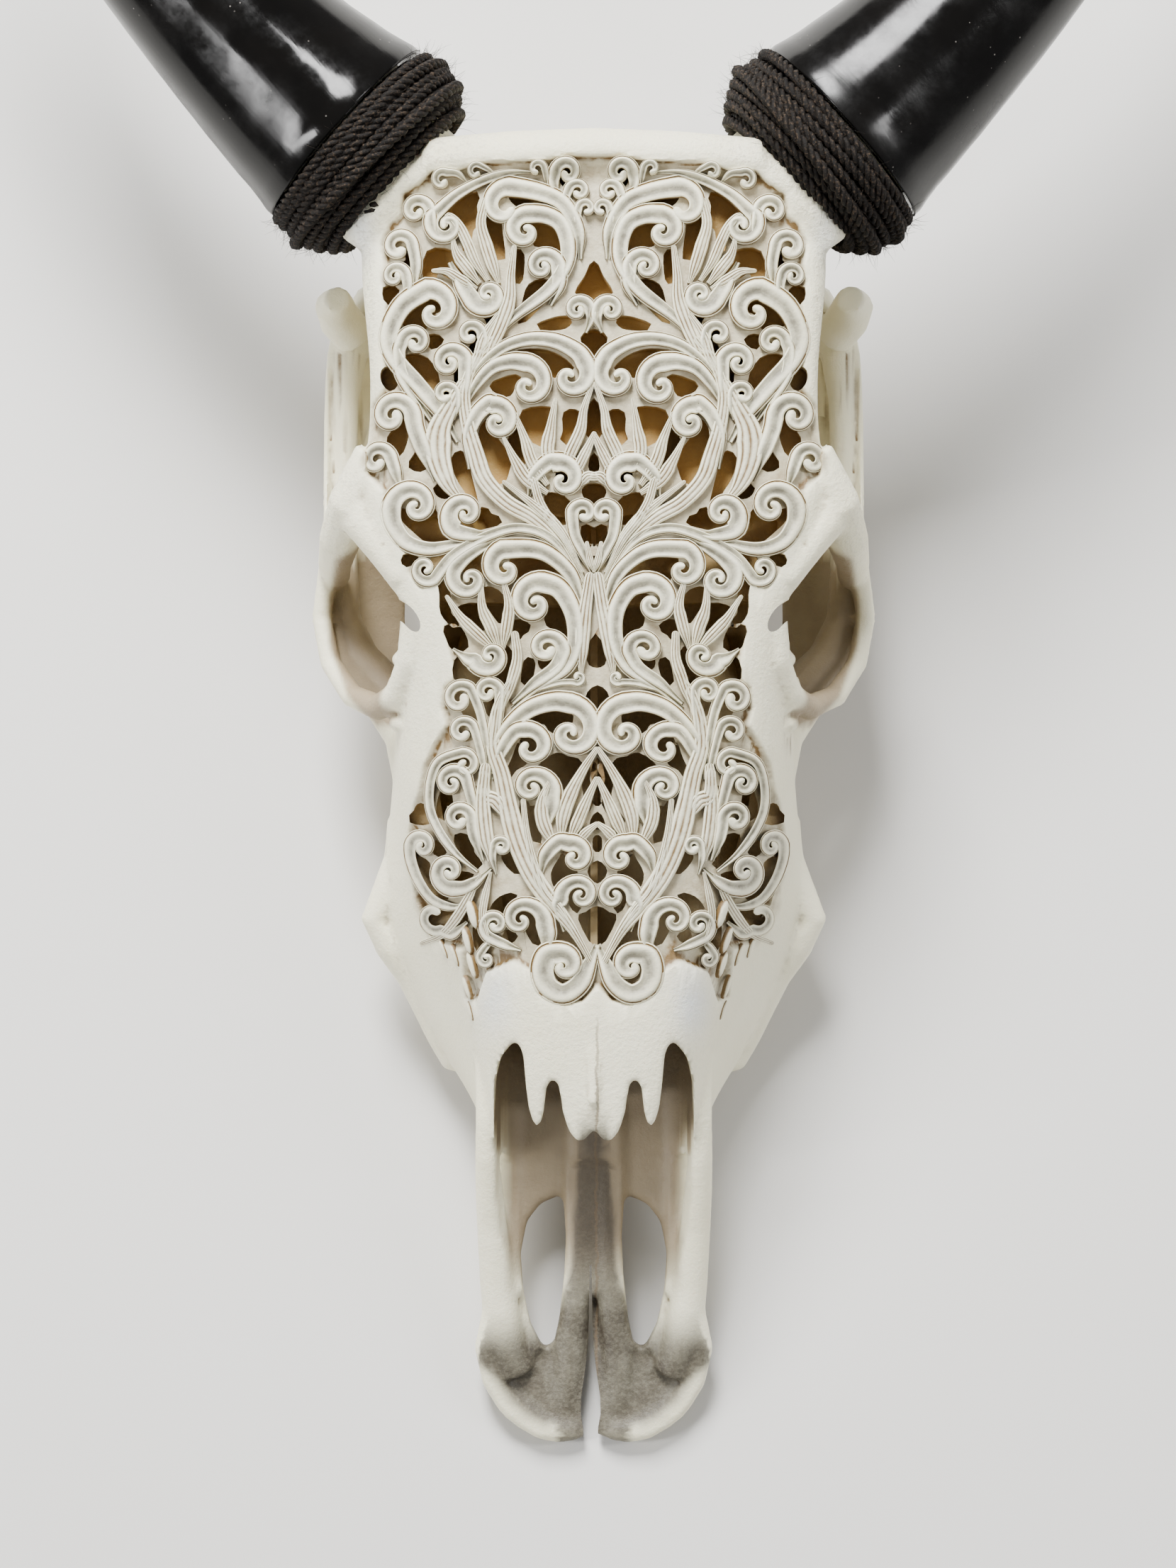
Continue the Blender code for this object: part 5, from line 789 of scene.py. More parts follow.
# Openings right through the bone, as outlines
HOLES = (
    ((-54.5, 210.5), (-49, 214.5), (-43.5, 217), (-44.5, 213), (-44, 207), (-46, 203.5), (-46.5, 196),
     (-47.5, 201), (-49, 206), (-51.5, 209)),
    ((-39.5, 208), (-36, 208.5), (-35, 203), (-34, 193.5), (-36.5, 197), (-39.5, 202.5)),
    ((-60.5, 195.5), (-53, 195.5), (-52.5, 191.5), (-49, 186.5), (-53, 187.5), (-57.5, 190), (-60, 186),
     (-61.5, 187)),
    ((-30, 217), (-25, 217), (-19, 214.5), (-24, 213.2), (-28, 214)),
    ((-26, 205), (-18.5, 206.5), (-13.5, 201), (-12.5, 196.5), (-16, 199), (-21, 199), (-22, 203.5)),
    ((-29.5, 195), (-27, 194.5), (-27.5, 186), (-29, 186.5)),
    ((-20, 168.3), (-14, 170.5), (-9.5, 170.8), (-11, 168.8), (-16, 168.2)),
    ((-23, 183), (-17.3, 184.5), (-18, 179.5), (-22, 175), (-27, 170.5), (-25, 177)),
    ((-35, 177.5), (-34, 172), (-36.5, 167), (-38.5, 171), (-40, 173.5), (-38, 174.5)),
    ((-70, 171), (-66, 174.5), (-61, 177), (-57, 175.5), (-60, 174), (-62.5, 171), (-62.5, 168.8),
     (-66, 169)),
    ((-68, 196.5), (-66.5, 194), (-67.5, 189.5), (-69.5, 191), (-68, 193)),
    ((-76.5, 182.5), (-73, 182), (-75.5, 178)),
    ((-11.5, 225.5), (-9.5, 225), (-9.5, 221), (-11, 222)),
    ((-69, 157), (-62, 156), (-58, 148), (-62, 142.5), (-65, 145), (-68, 152)),
    ((-60, 164.5), (-56.5, 163.5), (-59.5, 161.5)),
    ((-77, 152), (-75, 152.5), (-73.5, 148.5), (-75, 146.5), (-77, 149)),
    ((-54, 156), (-51, 157), (-49.5, 155), (-49, 150), (-49.2, 141), (-50.2, 138), (-50, 148),
     (-50.6, 154.5)),
    ((-58, 144.5), (-54.5, 144.5), (-54.5, 142.5), (-57, 141), (-57.5, 138.5), (-59, 141.5)),
    ((-48, 168), (-44, 167.5), (-42.2, 165), (-43.5, 157.5), (-44.8, 159.5), (-43.5, 164)),
    ((-29, 158), (-20, 158.8), (-13, 156.5), (-8.5, 152.5), (-11, 152.8), (-14.5, 150.8), (-17, 153.5),
     (-21, 156)),
    ((-37, 146.5), (-34, 148), (-31, 149), (-28, 149.3), (-30, 147), (-31.5, 144), (-34, 144.5)),
    ((-25.5, 136.5), (-16.5, 137.5), (-16.5, 133.5), (-19.8, 125.5), (-24.5, 131.5)),
    ((-10, 136), (-6, 136), (-6, 132), (-11, 126), (-10, 130)),
    ((-40.5, 131), (-38.5, 133), (-38.5, 129), (-36, 126), (-32, 120), (-32.5, 115.5), (-34, 112),
     (-37, 113), (-39.5, 118), (-41, 126)),
    ((-30.5, 126), (-28, 130), (-27, 126), (-26.5, 119), (-27.5, 118.5), (-29, 123.5)),
    ((-51, 120), (-48, 121), (-46.5, 114), (-44.5, 106), (-43.5, 101), (-45.5, 107), (-49.5, 113.5)),
    ((-73.5, 129.5), (-70.5, 133.5), (-69.8, 128), (-72.3, 122), (-75, 126.5)),
    ((-63, 124), (-62.5, 117), (-67, 117.5), (-65, 121)),
    ((-57.5, 109.5), (-53, 107.5), (-55, 106.5), (-57, 107.5)),
    ((-17, 104.5), (-15.5, 106), (-10, 103.5), (-10.5, 96.5), (-13.5, 99)),
    ((-12.5, 114.5), (-10, 114), (-9.5, 111), (-11.5, 109.5), (-12.5, 112)),
    ((-70.5, 101.5), (-69, 99), (-64, 97.8), (-59.5, 101), (-58.3, 96), (-52.5, 90.8), (-60, 90),
     (-66, 94.5), (-69.5, 98)),
    ((-48.5, 100), (-47.5, 97), (-44, 95), (-40, 95.5), (-35, 97), (-38.5, 98.5), (-40.5, 101), (-41.5, 97),
     (-45, 97.5)),
    ((-47, 79), (-45, 82.5), (-40, 86), (-37, 88), (-36.5, 85), (-39, 82), (-40.8, 77), (-42, 78.5),
     (-45, 78.5)),
    ((-69.5, 83.5), (-66, 83.5), (-69, 81.5)),
    ((-59, 83), (-54, 83.3), (-57, 79.5), (-60, 77.3), (-63.5, 77.5), (-62, 79), (-58.7, 80)),
    ((-30, 82), (-23, 83), (-16, 81), (-9.5, 76), (-14, 76.5), (-20, 78), (-26, 75.5), (-28, 78.5)),
    ((-34.5, 77), (-32.5, 76.3), (-31.5, 79), (-33, 79.5)),
    ((-39, 71.5), (-34.5, 69), (-33.5, 61), (-35, 61.5), (-40, 69.5)),
    ((-50, 64), (-43.5, 65.5), (-41.5, 61), (-41.5, 57.5), (-43, 58.5), (-46, 61.5)),
    ((-56, 74), (-54.3, 70), (-54, 63), (-51, 59.5), (-51.8, 59.6), (-55.1, 63.5), (-55.4, 70)),
    ((-54, 57.5), (-50, 57), (-47.5, 51), (-51.5, 51), (-53, 54)),
    ((-22, 67.5), (-17, 69), (-12.5, 66), (-8.7, 61), (-8.8, 54), (-9.7, 51), (-11, 56), (-16.5, 59.3),
     (-16.8, 64), (-19, 67)),
    ((-28.8, 59.5), (-24.5, 58), (-27, 56), (-28.3, 54.5)),
    ((-34.5, 50.5), (-31, 48), (-30.5, 41), (-32.3, 36), (-35.5, 41), (-33, 45)),
    ((-49, 47), (-43.5, 41.5), (-44.5, 38), (-50.5, 39.8)),
    ((-24.5, 45), (-23, 44.5), (-24, 39), (-25.5, 38)),
    ((-19.5, 46), (-17, 46), (-18.5, 43)),
    ((-50, 32.5), (-48.5, 32), (-45.5, 28.5), (-43, 25), (-43.2, 22), (-46.5, 25.5), (-48.5, 30)),
    ((-41, 36), (-38.5, 36.3), (-36.3, 33.5), (-36.7, 30), (-38, 26), (-39, 30.5), (-37.5, 31.5),
     (-38, 34.5)),
    ((-27, 25.5), (-20, 27), (-12, 25.8), (-10, 24), (-13.5, 23), (-15.8, 20.3), (-18, 23.3), (-23, 24.3)),
    ((-26, 15), (-25, 17), (-22, 17), (-19.5, 14.5), (-20.5, 12), (-23, 12.5), (-24.5, 14)),
    ((-32, 3), (-29, 9), (-27, 14.5), (-26.3, 13), (-27, 10), (-25.8, 8.5), (-29.5, 6.3)),
    ((-19.5, 6.5), (-14.5, 10.3), (-11, 9), (-6.8, 7.5), (-8.8, 0), (-12, -4.5), (-13.8, 0), (-16.5, 4)),
    ((-2.2, 7), (-4.5, 2), (-3.8, -5.5), (-8.5, -13), (-8, -13.5), (-2.8, -6.5), (-3.3, 2), (-1.4, 6)),
    ((-26, -7), (-24, -9.3), (-21.2, -9.5), (-21, -15), (-21, -21), (-22.3, -17.5), (-25.5, -15.5)),
    ((-26.8, -17), (-25.8, -17), (-23.3, -25), (-21.7, -31), (-17, -40), (-18, -39.5), (-22.8, -31.5),
     (-24.5, -25)),
    ((-33, -25.8), (-29.5, -27.8), (-27.8, -32), (-31, -29.5)),
    ((-50.5, -19.5), (-46.3, -20.5), (-45.5, -25.5), (-42.5, -29.5), (-45.5, -29), (-49, -24)),
    ((-59, -22), (-56, -25.5), (-58.5, -25)),
    ((-66, -28.5), (-62.5, -30), (-62.6, -33.5), (-60, -37.5), (-55, -40.7), (-56, -41.6), (-61.5, -38.8),
     (-65, -33)),
    ((-56.3, -30), (-55.3, -30.5), (-55, -33.3), (-50.5, -33.5), (-45.5, -34), (-49, -35.6), (-53.5, -35.5),
     (-56.4, -33)),
    ((-60, -47), (-53.5, -47), (-54.5, -50), (-57, -52.5), (-60.5, -53), (-62.5, -51.5), (-59, -50.5)),
    ((-65, -8.5), (-63.5, -9), (-62, -13.5), (-68, -13), (-66, -10.5)),
    ((-55, -2), (-53.5, -6.3), (-55.5, -7), (-56.5, -12.5), (-57, -8)),
    ((-55.5, 9.3), (-51, 11.5), (-47, 10.5), (-48.7, 8), (-49, 5.2), (-50.5, 7.8)),
    ((-45, -2.7), (-41.5, -2), (-41.3, -8), (-43, -4)),
    ((-14, -37.5), (-15.2, -33), (-12.8, -28), (-11, -25), (-10.8, -29), (-10, -31.5), (-8, -32.5),
     (-12, -34)),
    ((-12, -25.2), (-9, -23.8), (-6.6, -25.5), (-6.5, -28.5), (-8, -29), (-7.3, -26.5), (-9, -25)),
    ((-7.5, -46), (-9.2, -43), (-8.8, -39.3), (-6, -37.8), (-3.2, -39.3), (-3.5, -41.5), (-4.8, -39.7),
     (-7.3, -40), (-7.5, -43)),
    ((-15.5, -50.5), (-12.5, -52.5), (-8, -57.5), (-5.5, -64), (-5.8, -69), (-7.8, -71.5), (-7.3, -65.5),
     (-9.5, -60.5), (-15, -59), (-15.3, -54)),
    ((-12, -66.5), (-14.2, -68), (-13, -71.5), (-10, -73), (-7.5, -71.8), (-10.5, -71.5), (-12.5, -70),
     (-13, -68)),
    ((-37, -46), (-34, -42.5), (-29.5, -41.3), (-33, -44.3), (-35, -47.3)),
    ((-28.7, -48.5), (-26, -47), (-23.5, -49), (-21.5, -53), (-21, -58.5), (-23.5, -54.5), (-24.5, -51),
     (-26, -49.5), (-28, -50.5)),
    ((-32, -55), (-29.5, -56), (-32, -57.5)),
    ((-42.8, -48), (-42, -48), (-41.7, -53), (-39.8, -58), (-42.5, -61), (-43.6, -55)),
    ((-49.5, -47), (-48.3, -46), (-48.3, -52), (-49.5, -55), (-50.8, -51)),
)

# Openings on the middle line
MIDDLE_HOLES = (
    ((0, 191.5), (-2.5, 186.5), (-6, 180.8), (-2.5, 180), (0, 176.8), (2.5, 180), (6, 180.8), (2.5, 186.5)),
    ((0, 166.5), (-4, 164), (-2, 160.5), (0, 156), (2, 160.5), (4, 164)),
    ((0, 141), (-1.5, 135), (-2, 129), (0, 128.5), (2, 129), (1.5, 135)),
    ((0, 121), (-1, 117), (0, 115), (1, 117)),
    ((-3.5, 107.5), (-2, 109.5), (2, 109.5), (3.5, 107.5), (1.5, 104.5), (-1.5, 104.5)),
    ((-3.8, 94.5), (-3.2, 87), (-1, 89.5), (0, 88.5), (1, 89.5), (3.2, 87), (3.8, 94.5), (0, 93.5)),
    ((0, 83), (-1.2, 82), (0, 76.5), (1.2, 82)),
    ((0, 54.5), (-2.6, 46), (0, 44), (2.6, 46)),
    ((0, 35.5), (-3.4, 32), (0, 27.2), (3.4, 32)),
    ((0, 9), (-1.7, 2), (0, -0.5), (1.7, 2)),
    ((-0.6, -3), (0.6, -3), (0.6, -6.5), (-0.6, -6.5)),
    ((0, -11), (-1.8, -14.5), (0, -15.5), (1.8, -14.5)),
    ((-0.6, -20), (0.6, -20), (0.6, -23.5), (-0.6, -23.5)),
    ((0, -29), (-2.6, -32), (0, -35.5), (2.6, -32)),
    ((-6, -49.5), (-4, -48), (0, -45.8), (4, -48), (6, -49.5), (0, -59.2)),
)


# How far the openings reach past their outlines, and above and below the bone's skin
HOLE_SPREAD = 1.5
MIDDLE_HOLE_SPREAD = 1.1
TEAR_HOLE_SPREAD = 0.1
ABOVE_SKIN = 8
BELOW_SKIN = 13

# The slit between the incisive bones, and the small hole at the front of each eye
SLIT = ((0.35, -183), (0.7, -205), (1.2, -216), (2.4, -226), (3.7, -235), (3.8, -242), (2.8, -247.5),
        (3.2, -262))
TEAR_HOLE = ((75, 69), (70.5, 67.5), (66.5, 64.2), (64.2, 60), (64.6, 56.8), (67.4, 57), (70.6, 60),
             (75, 63.5))
SKULL_TRIANGLES = 166000
CAST_FROM = 0.1
DOWN = Vector((0, 0, -1))


def grown_outline(outline, by):
    """A closed outline with smooth curves between its points, pushed outwards by some millimetres."""
    count = len(outline)
    line = []
    for i in range(count):
        a, b, c, d = (Vector(outline[(i + k) % count]) for k in (-1, 0, 1, 2))
        for t in (0, 1 / 3, 2 / 3):
            line.append(0.5 * (2 * b + (c - a) * t + (2 * a - 5 * b + 4 * c - d) * t * t
                               + (3 * b - a - 3 * c + d) * t ** 3))
    turning = sum(a.x * b.y - b.x * a.y for a, b in zip(line, line[1:] + line[:1]))
    sign = 1 if turning > 0 else -1
    pushed = []
    for i, point in enumerate(line):
        ahead = (line[(i + 1) % len(line)] - line[i - 1]).normalized()
        pushed.append(tuple(point + sign * by * Vector((ahead.y, -ahead.x))))
    return pushed


def skin_height(x, y):
    """Height of the uncarved forehead at a place seen from the front, in millimetres."""
    hit = outer_skin.ray_cast(Vector((x * MM, y * MM, CAST_FROM)), DOWN)[0]
    return hit.z / MM if hit else -60.0


thin = skull.modifiers.new("Thin", "DECIMATE")
thin.ratio = SKULL_TRIANGLES / sum(len(p.vertices) - 2 for p in skull.data.polygons)
skull = frozen(skull, workshop)
holes = collection("holes")
for outline in HOLES:
    middle = (sum(p[0] for p in outline) / len(outline), sum(p[1] for p in outline) / len(outline))
    for side in (-1, 1):
        placed = grown_outline([(leaned(x, y, side), y) for x, y in outline], HOLE_SPREAD)
        level = skin_height(leaned(*middle, side), middle[1])
        prism("hole", placed, level - BELOW_SKIN, level + ABOVE_SKIN, holes)
for outline in MIDDLE_HOLES:
    placed = grown_outline([(leaned(x, y, -1), y) for x, y in outline], MIDDLE_HOLE_SPREAD)
    prism("hole", placed, -16, ABOVE_SKIN, holes)
prism("hole", [(-x - 1.2, y) for x, y in reversed(SLIT)] + [(x - 1.2, y) for x, y in SLIT], -100, -30, holes)
for side in (-1, 1):
    placed = grown_outline([(side * x, y) for x, y in TEAR_HOLE[::side]], TEAR_HOLE_SPREAD)
    prism("hole", placed, -55, ABOVE_SKIN, holes)
skull = carve_off(skull, joined("pierced", holes, workshop), workshop)
largest_body(skull)

# What the bone's finish reads at each point: how deep behind the face it lies, whether it is in an eye,
# temple or nose hollow, which is tinted partly as painted shade, and where it bears stain or painted shade,
# is pitted, chalky or creased, the creases partly dirt and partly painted shade.
points = points_of(skull.data)
buried = np.zeros(len(points))
for i, point in enumerate(points):
    found = outer_skin.find_nearest(Vector(point) * MM)
    if (Vector(point) * MM - found[0]).dot(found[1]) < 0:
        buried[i] = found[3] / MM
x, y, z = np.abs(points[:, 0]), points[:, 1], points[:, 2]
hollow = ease_between(2.6, 4.6, buried) * (1 - ease_between(84, 90, x) * ease_between(150, 162, y))
eye_outline = ((88, 92), (78, 84), (62, 72), (58, 40), (66, 22), (83, 22), (93.4, 33), (101, 53),
               (101.5, 70), (97, 84))
rim, inside_eye = edge_distance(np.column_stack([x, y, z]), eye_outline)
eye = ease_between(-1.2, 1.6, np.where(inside_eye, rim, -rim)) * ease_between(27, 33, -z)
# The tear pit is darkened through the stain field: painted shade where the pit falls dark.
pit = (1 - ease_between(4, 7.5, np.hypot(x - 68, y - 61.5))) * ease_between(12, 18, -z)
floor_bone = (1 - ease_between(31, 35.5, x)) * (1 - ease_between(-57, -51, z)) * ease_between(-198, -172, y)
floor_bone *= 1 - ease_between(-100, -80, y)
temple = ease_between(50, 62, x) * ease_between(95, 110, y) * ease_between(14, 26, -z)
temple *= 1 - ease_between(142, 158, y)
nose = 1 - ease_between(-96, -70, y)
paint_field(skull.data, "hollow", hollow)
# The socket field tints the eye sockets, the nose's floor and the temple and nose hollows taupe: partly
# their own tan, partly painted shade.
hollows = np.maximum.reduce([eye, floor_bone, hollow * temple, hollow * nose])
paint_field(skull.data, "socket", np.clip(hollows, 0, 1))
paddle_edge = ((-20, -150), (37, -150), (37, -190), (39.5, -203), (43.3, -213), (44.8, -220), (42.2, -230),
               (36.5, -239.5), (29, -246.5), (20.5, -251), (-20, -251))
rim, inside_paddle = edge_distance(np.column_stack([x, y, z]), paddle_edge)
paddle = (1 - ease_between(-216, -197, y)) * inside_paddle
paddle *= ease_between(2, 9, rim + 7 * ease_between(-229, -217, y))
paddle *= 1 - 0.45 * ease_between(-63, -51, z)
keel_half = 4.4 + 2.4 * ease_between(132, 175, -y) + 6 * ease_between(178, 206, -y)
keel = (1 - ease_between(0, 2.5, x - keel_half)) * (1 - ease_between(-132, -118, y))
# The stain field holds the paddles' own stain, a darker band down the keel's middle, and the tear pit's
# painted shade.
paint_field(skull.data, "stain_and_shade", np.clip(paddle + 0.9 * keel + pit, 0, 1))
nearest, inside = edge_distance(points, pattern_edge)
plain = ease_between(0.5, 4, nearest) * (1 - inside) * (1 - hollow)
brow = ease_between(70, 110, y) * ease_between(50, 72, x + 0.4 * (y - 190))
paint_field(skull.data, "grain", plain * (0.25 + 0.75 * brow) * ease_between(-46, -36, z))
chalk = np.exp(-((x - 36) / 7) ** 2 - ((y + 80) / 12) ** 2)
chalk += 0.8 * np.exp(-((x - 86) / 5) ** 2 - ((y - 205) / 14) ** 2)
paint_field(skull.data, "chalk", np.clip(chalk, 0, 1) * (1 - hollow))
# The crease field darkens the bone where it is concave, by how far each point lies below its neighbours, and
# over the sunk ground of the pattern: partly old dirt, partly painted shade.
edges = np.empty(len(skull.data.edges) * 2, int)
skull.data.edges.foreach_get("vertices", edges)
edges = edges.reshape(-1, 2)
total = np.zeros((len(points), 3))
count = np.zeros(len(points))
for a, b in ((0, 1), (1, 0)):
    np.add.at(total, edges[:, a], points[edges[:, b]])
    np.add.at(count, edges[:, a], 1)
normals = np.empty(len(points) * 3)
skull.data.vertices.foreach_get("normal", normals)
bend = np.sum((total / count[:, None] - points) * normals.reshape(-1, 3), axis=1)
ground = ease_between(0.0, 1.5, nearest) * inside * (1 - hollow)
paint_field(skull.data, "crease", np.maximum(ease_between(0.02, 0.35, bend) * 0.8, ground * 0.36))


# Carved relief: the scrolls, stems and flame leaves that the carver left standing on the pierced forehead.
# It is the skull's own bone, worked with gouges: each ribbon has a rolled edge, a fine line cut along it and
# a dished middle, and ends in a rounded curl.
def rounded(points, each):
    """More points along a smooth line through the given (x, y) points."""
    line = [Vector(p) for p in points]
    ends = [2 * line[0] - line[1]] + line + [2 * line[-1] - line[-2]]
    made = []
    for a, b, c, d in zip(ends, ends[1:], ends[2:], ends[3:]):
        for k in range(each):
            t = k / each
            made.append(0.5 * (2 * b + (c - a) * t + (2 * a - 5 * b + 4 * c - d) * t * t
                               + (3 * b - a - 3 * c + d) * t ** 3))
    made.append(line[-1])
    return made


def scroll_line(stem, volute):
    """A stem that runs into a shrinking volute round its eye, and the number of points before the volute."""
    x, y, outer, start, turn, inner = volute
    steps = max(10, int(abs(turn) / 360 * 30))
    curl = []
    for k in range(steps + 1):
        t = k / steps
        angle = math.radians(start + turn * t)
        reach = outer * (inner / outer) ** (t ** 1.15)
        curl.append((x + reach * math.cos(angle), y + reach * math.sin(angle)))
    stem_line = rounded(list(stem) + curl[:2], 6)[:-7]
    return stem_line + [Vector(p) for p in curl], len(stem_line)


def widths_along(line, shoulder, widths):
    """Width at each point: from the root to the shoulder, then down to the tip."""
    root, wide, tip = widths
    count = len(line)
    made = []
    for i in range(count):
        if i <= shoulder:
            made.append(root + (wide - root) * i / max(1, shoulder))
        else:
            made.append(wide + (tip - wide) * ((i - shoulder) / (count - 1 - shoulder)) ** 0.8)
    return made


# Across a ribbon from its outer to its inner edge: place (-1 to 1), height in millimetres, and how far the
# line is a crease, darkened as old dirt and as painted shade.
SCROLL_SHAPE = ((-1, -4.4, 1), (-1, -2.0, 0.9), (-0.985, -0.6, 0.45), (-0.95, 0.1, 0), (-0.9, 0.25, 0),
                (-0.81, -0.25, 1), (-0.72, 0.35, 0.4), (-0.6, 0.95, 0), (-0.4, 1.2, 0), (-0.16, 0.95, 0),
                (0.1, 0.2, 0), (0.36, -0.35, 0), (0.62, -0.15, 0), (0.82, 0.5, 0), (0.93, 0.3, 0),
                (0.985, -0.6, 0.45), (1, -2.0, 0.9), (1, -4.4, 1))
LEAF_SHAPE = ((-1, -4.4, 0.9), (-1, -2.0, 0.8), (-0.97, -0.4, 0.3), (-0.88, 0.3, 0), (-0.72, 0.5, 0),
              (-0.56, 0.1, 0.7), (-0.4, 0.5, 0), (-0.2, 0.62, 0), (0, 0.25, 0.7), (0.2, 0.62, 0),
              (0.4, 0.5, 0), (0.56, 0.1, 0.7), (0.72, 0.5, 0), (0.88, 0.3, 0), (0.97, -0.4, 0.3),
              (1, -2.0, 0.8), (1, -4.4, 0.9))


# Ribbons narrower than this are carved lower, and are less dished
FULL_RELIEF_WIDTH = 4.2


def ribbon(line, widths, shape, side, curls, chance, gather):
    """Adds one carved ribbon to the gathered points, faces and creases. Its end runs on into a round cap."""
    count = len(line)
    flip = -1 if curls < 0 else 1
    lay = chance.uniform(-0.15, 0.15)
    stations = [(line[i], line[min(i + 1, count - 1)] - line[max(i - 1, 0)], widths[i], i / (count - 1))
                for i in range(count)]
    ahead = (line[-1] - line[-2]).normalized()
    for turn in (25, 50, 70, 84):
        t = math.radians(turn)
        place = line[-1] + ahead * widths[-1] / 2 * math.sin(t)
        stations.append((place, ahead, widths[-1] * math.cos(t), 1.0))
    points, faces, creases, dales = gather
    first = len(points)
    for place, ahead, width, share in stations:
        across = Vector((-ahead.y, ahead.x)).normalized() * (width / 2 * flip)
        knob = min(1.0, max(0.0, (share - 0.8) / 0.15)) if curls else 0.0
        rooted = min(1.0, share / (0.16 if curls else 0.3))
        rooted = rooted * rooted * (3 - 2 * rooted)
        across *= 0.4 + 0.6 * rooted
        size = min(1.0, width / FULL_RELIEF_WIDTH)
        middle = skin_height(leaned(place.x, place.y, side), place.y)
        for u, rise, crease in shape:
            spot = place + across * u
            x = leaned(spot.x, spot.y, side)
            level = skin_height(x, spot.y)
            reach = 1.6 * abs(u) * width / 2 + 0.3
            level = min(middle + reach, max(middle - reach, level))
            if rise > -1:
                dome = 1.9 * math.sqrt(max(0.0, 1 - u * u)) - 0.5
                shaped = (rise - 0.35) * size + 0.35
                rise = (shaped * (1 - knob) + dome * knob) - (2.4 if curls else 1.2) * (1 - rooted) + lay
            points.append((x, spot.y, level + rise))
            # The crease field darkens a ribbon's sides and its cut line, partly as old dirt and partly as
            # painted shade; the dale field paints shade into its dished middle, or down a leaf's middle.
            creases.append(crease * (1 - knob * 0.6))
            dished = max(0.0, 1 - abs(u - 0.27) / 0.72) * (1 - knob)
            dales.append(dished if curls else 0.35 * (1 - abs(u)))
    across_count = len(shape)
    for i in range(len(stations) - 1):
        for k in range(across_count):
            a = first + i * across_count + k
            b = first + i * across_count + (k + 1) % across_count
            faces.append((a, b, b + across_count, a + across_count))
    faces.append(tuple(range(first, first + across_count)))
    last = first + (len(stations) - 1) * across_count
    faces.append(tuple(range(last, last + across_count)))


# Small rounded leaf tips on the steep sides of the nose: place and half length
BUDS = (
    (-45, -47, 5.4), (-47, -57, 5), (-45.4, -66, 5), (-47.4, -75, 4.4), (-46.2, -84, 3.6), (-52, -63, 4.2),
    (-56.5, -61, 3.6),
)
BUD_SIDES = 10
# From a bud's foot to its top: share of its width, height, and how far it is darkened, as old dirt and
# painted shade
BUD_SHAPE = ((1.0, -1.2, 1.0), (1.0, 0.3, 0.8), (0.86, 1.0, 0.1), (0.5, 1.45, 0.0))


def bud(x, y, size, side, gather):
    """A low drop-shaped leaf tip set on the bone along its own normal."""
    points, faces, creases, dales = gather
    at, normal = outer_skin.ray_cast(Vector((leaned(x, y, side) * MM, y * MM, CAST_FROM)), DOWN)[:2]
    tipward = Vector((0.25 * math.sin(y) - side * 0.25, -1, 0))
    tipward = (tipward - normal * tipward.dot(normal)).normalized()
    aside = normal.cross(tipward)
    first = len(points)
    for reach, rise, dirt_and_shade in BUD_SHAPE:
        for k in range(BUD_SIDES):
            turn = 2 * math.pi * k / BUD_SIDES
            long = size * (1.25 if math.cos(turn) > 0 else 0.9)
            spot = at / MM + tipward * math.cos(turn) * reach * long
            spot += aside * math.sin(turn) * reach * size * 0.38
            points.append(tuple(spot + normal * (rise * size * 0.17)))
            creases.append(dirt_and_shade)
            dales.append(0.0)
    for row in range(len(BUD_SHAPE) - 1):
        for k in range(BUD_SIDES):
            a = first + row * BUD_SIDES + k
            b = first + row * BUD_SIDES + (k + 1) % BUD_SIDES
            faces.append((a, b, b + BUD_SIDES, a + BUD_SIDES))
    last = len(points) - BUD_SIDES
    faces.append(tuple(range(first, first + BUD_SIDES)))
    faces.append(tuple(range(last, last + BUD_SIDES)))


def mesh_of(name, points, faces):
    """A mesh from points in millimetres and the faces between them."""
    mesh = bpy.data.meshes.new(name)
    mesh.from_pydata([Vector(p) * MM for p in points], [], faces)
    return mesh


def turned_outwards(mesh):
    """Turns a mesh's faces outwards."""
    bm = bmesh.new()
    bm.from_mesh(mesh)
    bmesh.ops.recalc_face_normals(bm, faces=bm.faces)
    bm.to_mesh(mesh)
    bm.free()


relief = []
for side, word in ((-1, "left"), (1, "right")):
    chance = random.Random(40 + side)
    gather = ([], [], [], [])
    for stem, volute, widths in SCROLLS:
        line, shoulder = scroll_line(stem, volute)
        broad = chance.uniform(1.14, 1.24)
        along = [w * broad for w in widths_along(line, shoulder, widths)]
        ribbon(line, along, SCROLL_SHAPE, side, volute[4], chance, gather)
    for points, widths in BLADES:
        line = rounded(points, 5)
        broad = chance.uniform(0.97, 1.05)
        along = [w * broad for w in widths_along(line, len(line) // 2, widths)]
        ribbon(line, along, LEAF_SHAPE, side, 0, chance, gather)
    for x, y, size in BUDS:
        bud(x, y, size, side, gather)
    points, faces, creases, dales = gather
    mesh = mesh_of("carved_relief_" + word, points, faces)
    mesh.validate()
    paint_field(mesh, "crease", creases)
    paint_field(mesh, "dale", dales)
    turned_outwards(mesh)
    mesh.transform(face)
    relief.append(mesh_object("carved_relief_" + word, mesh, made_skull))


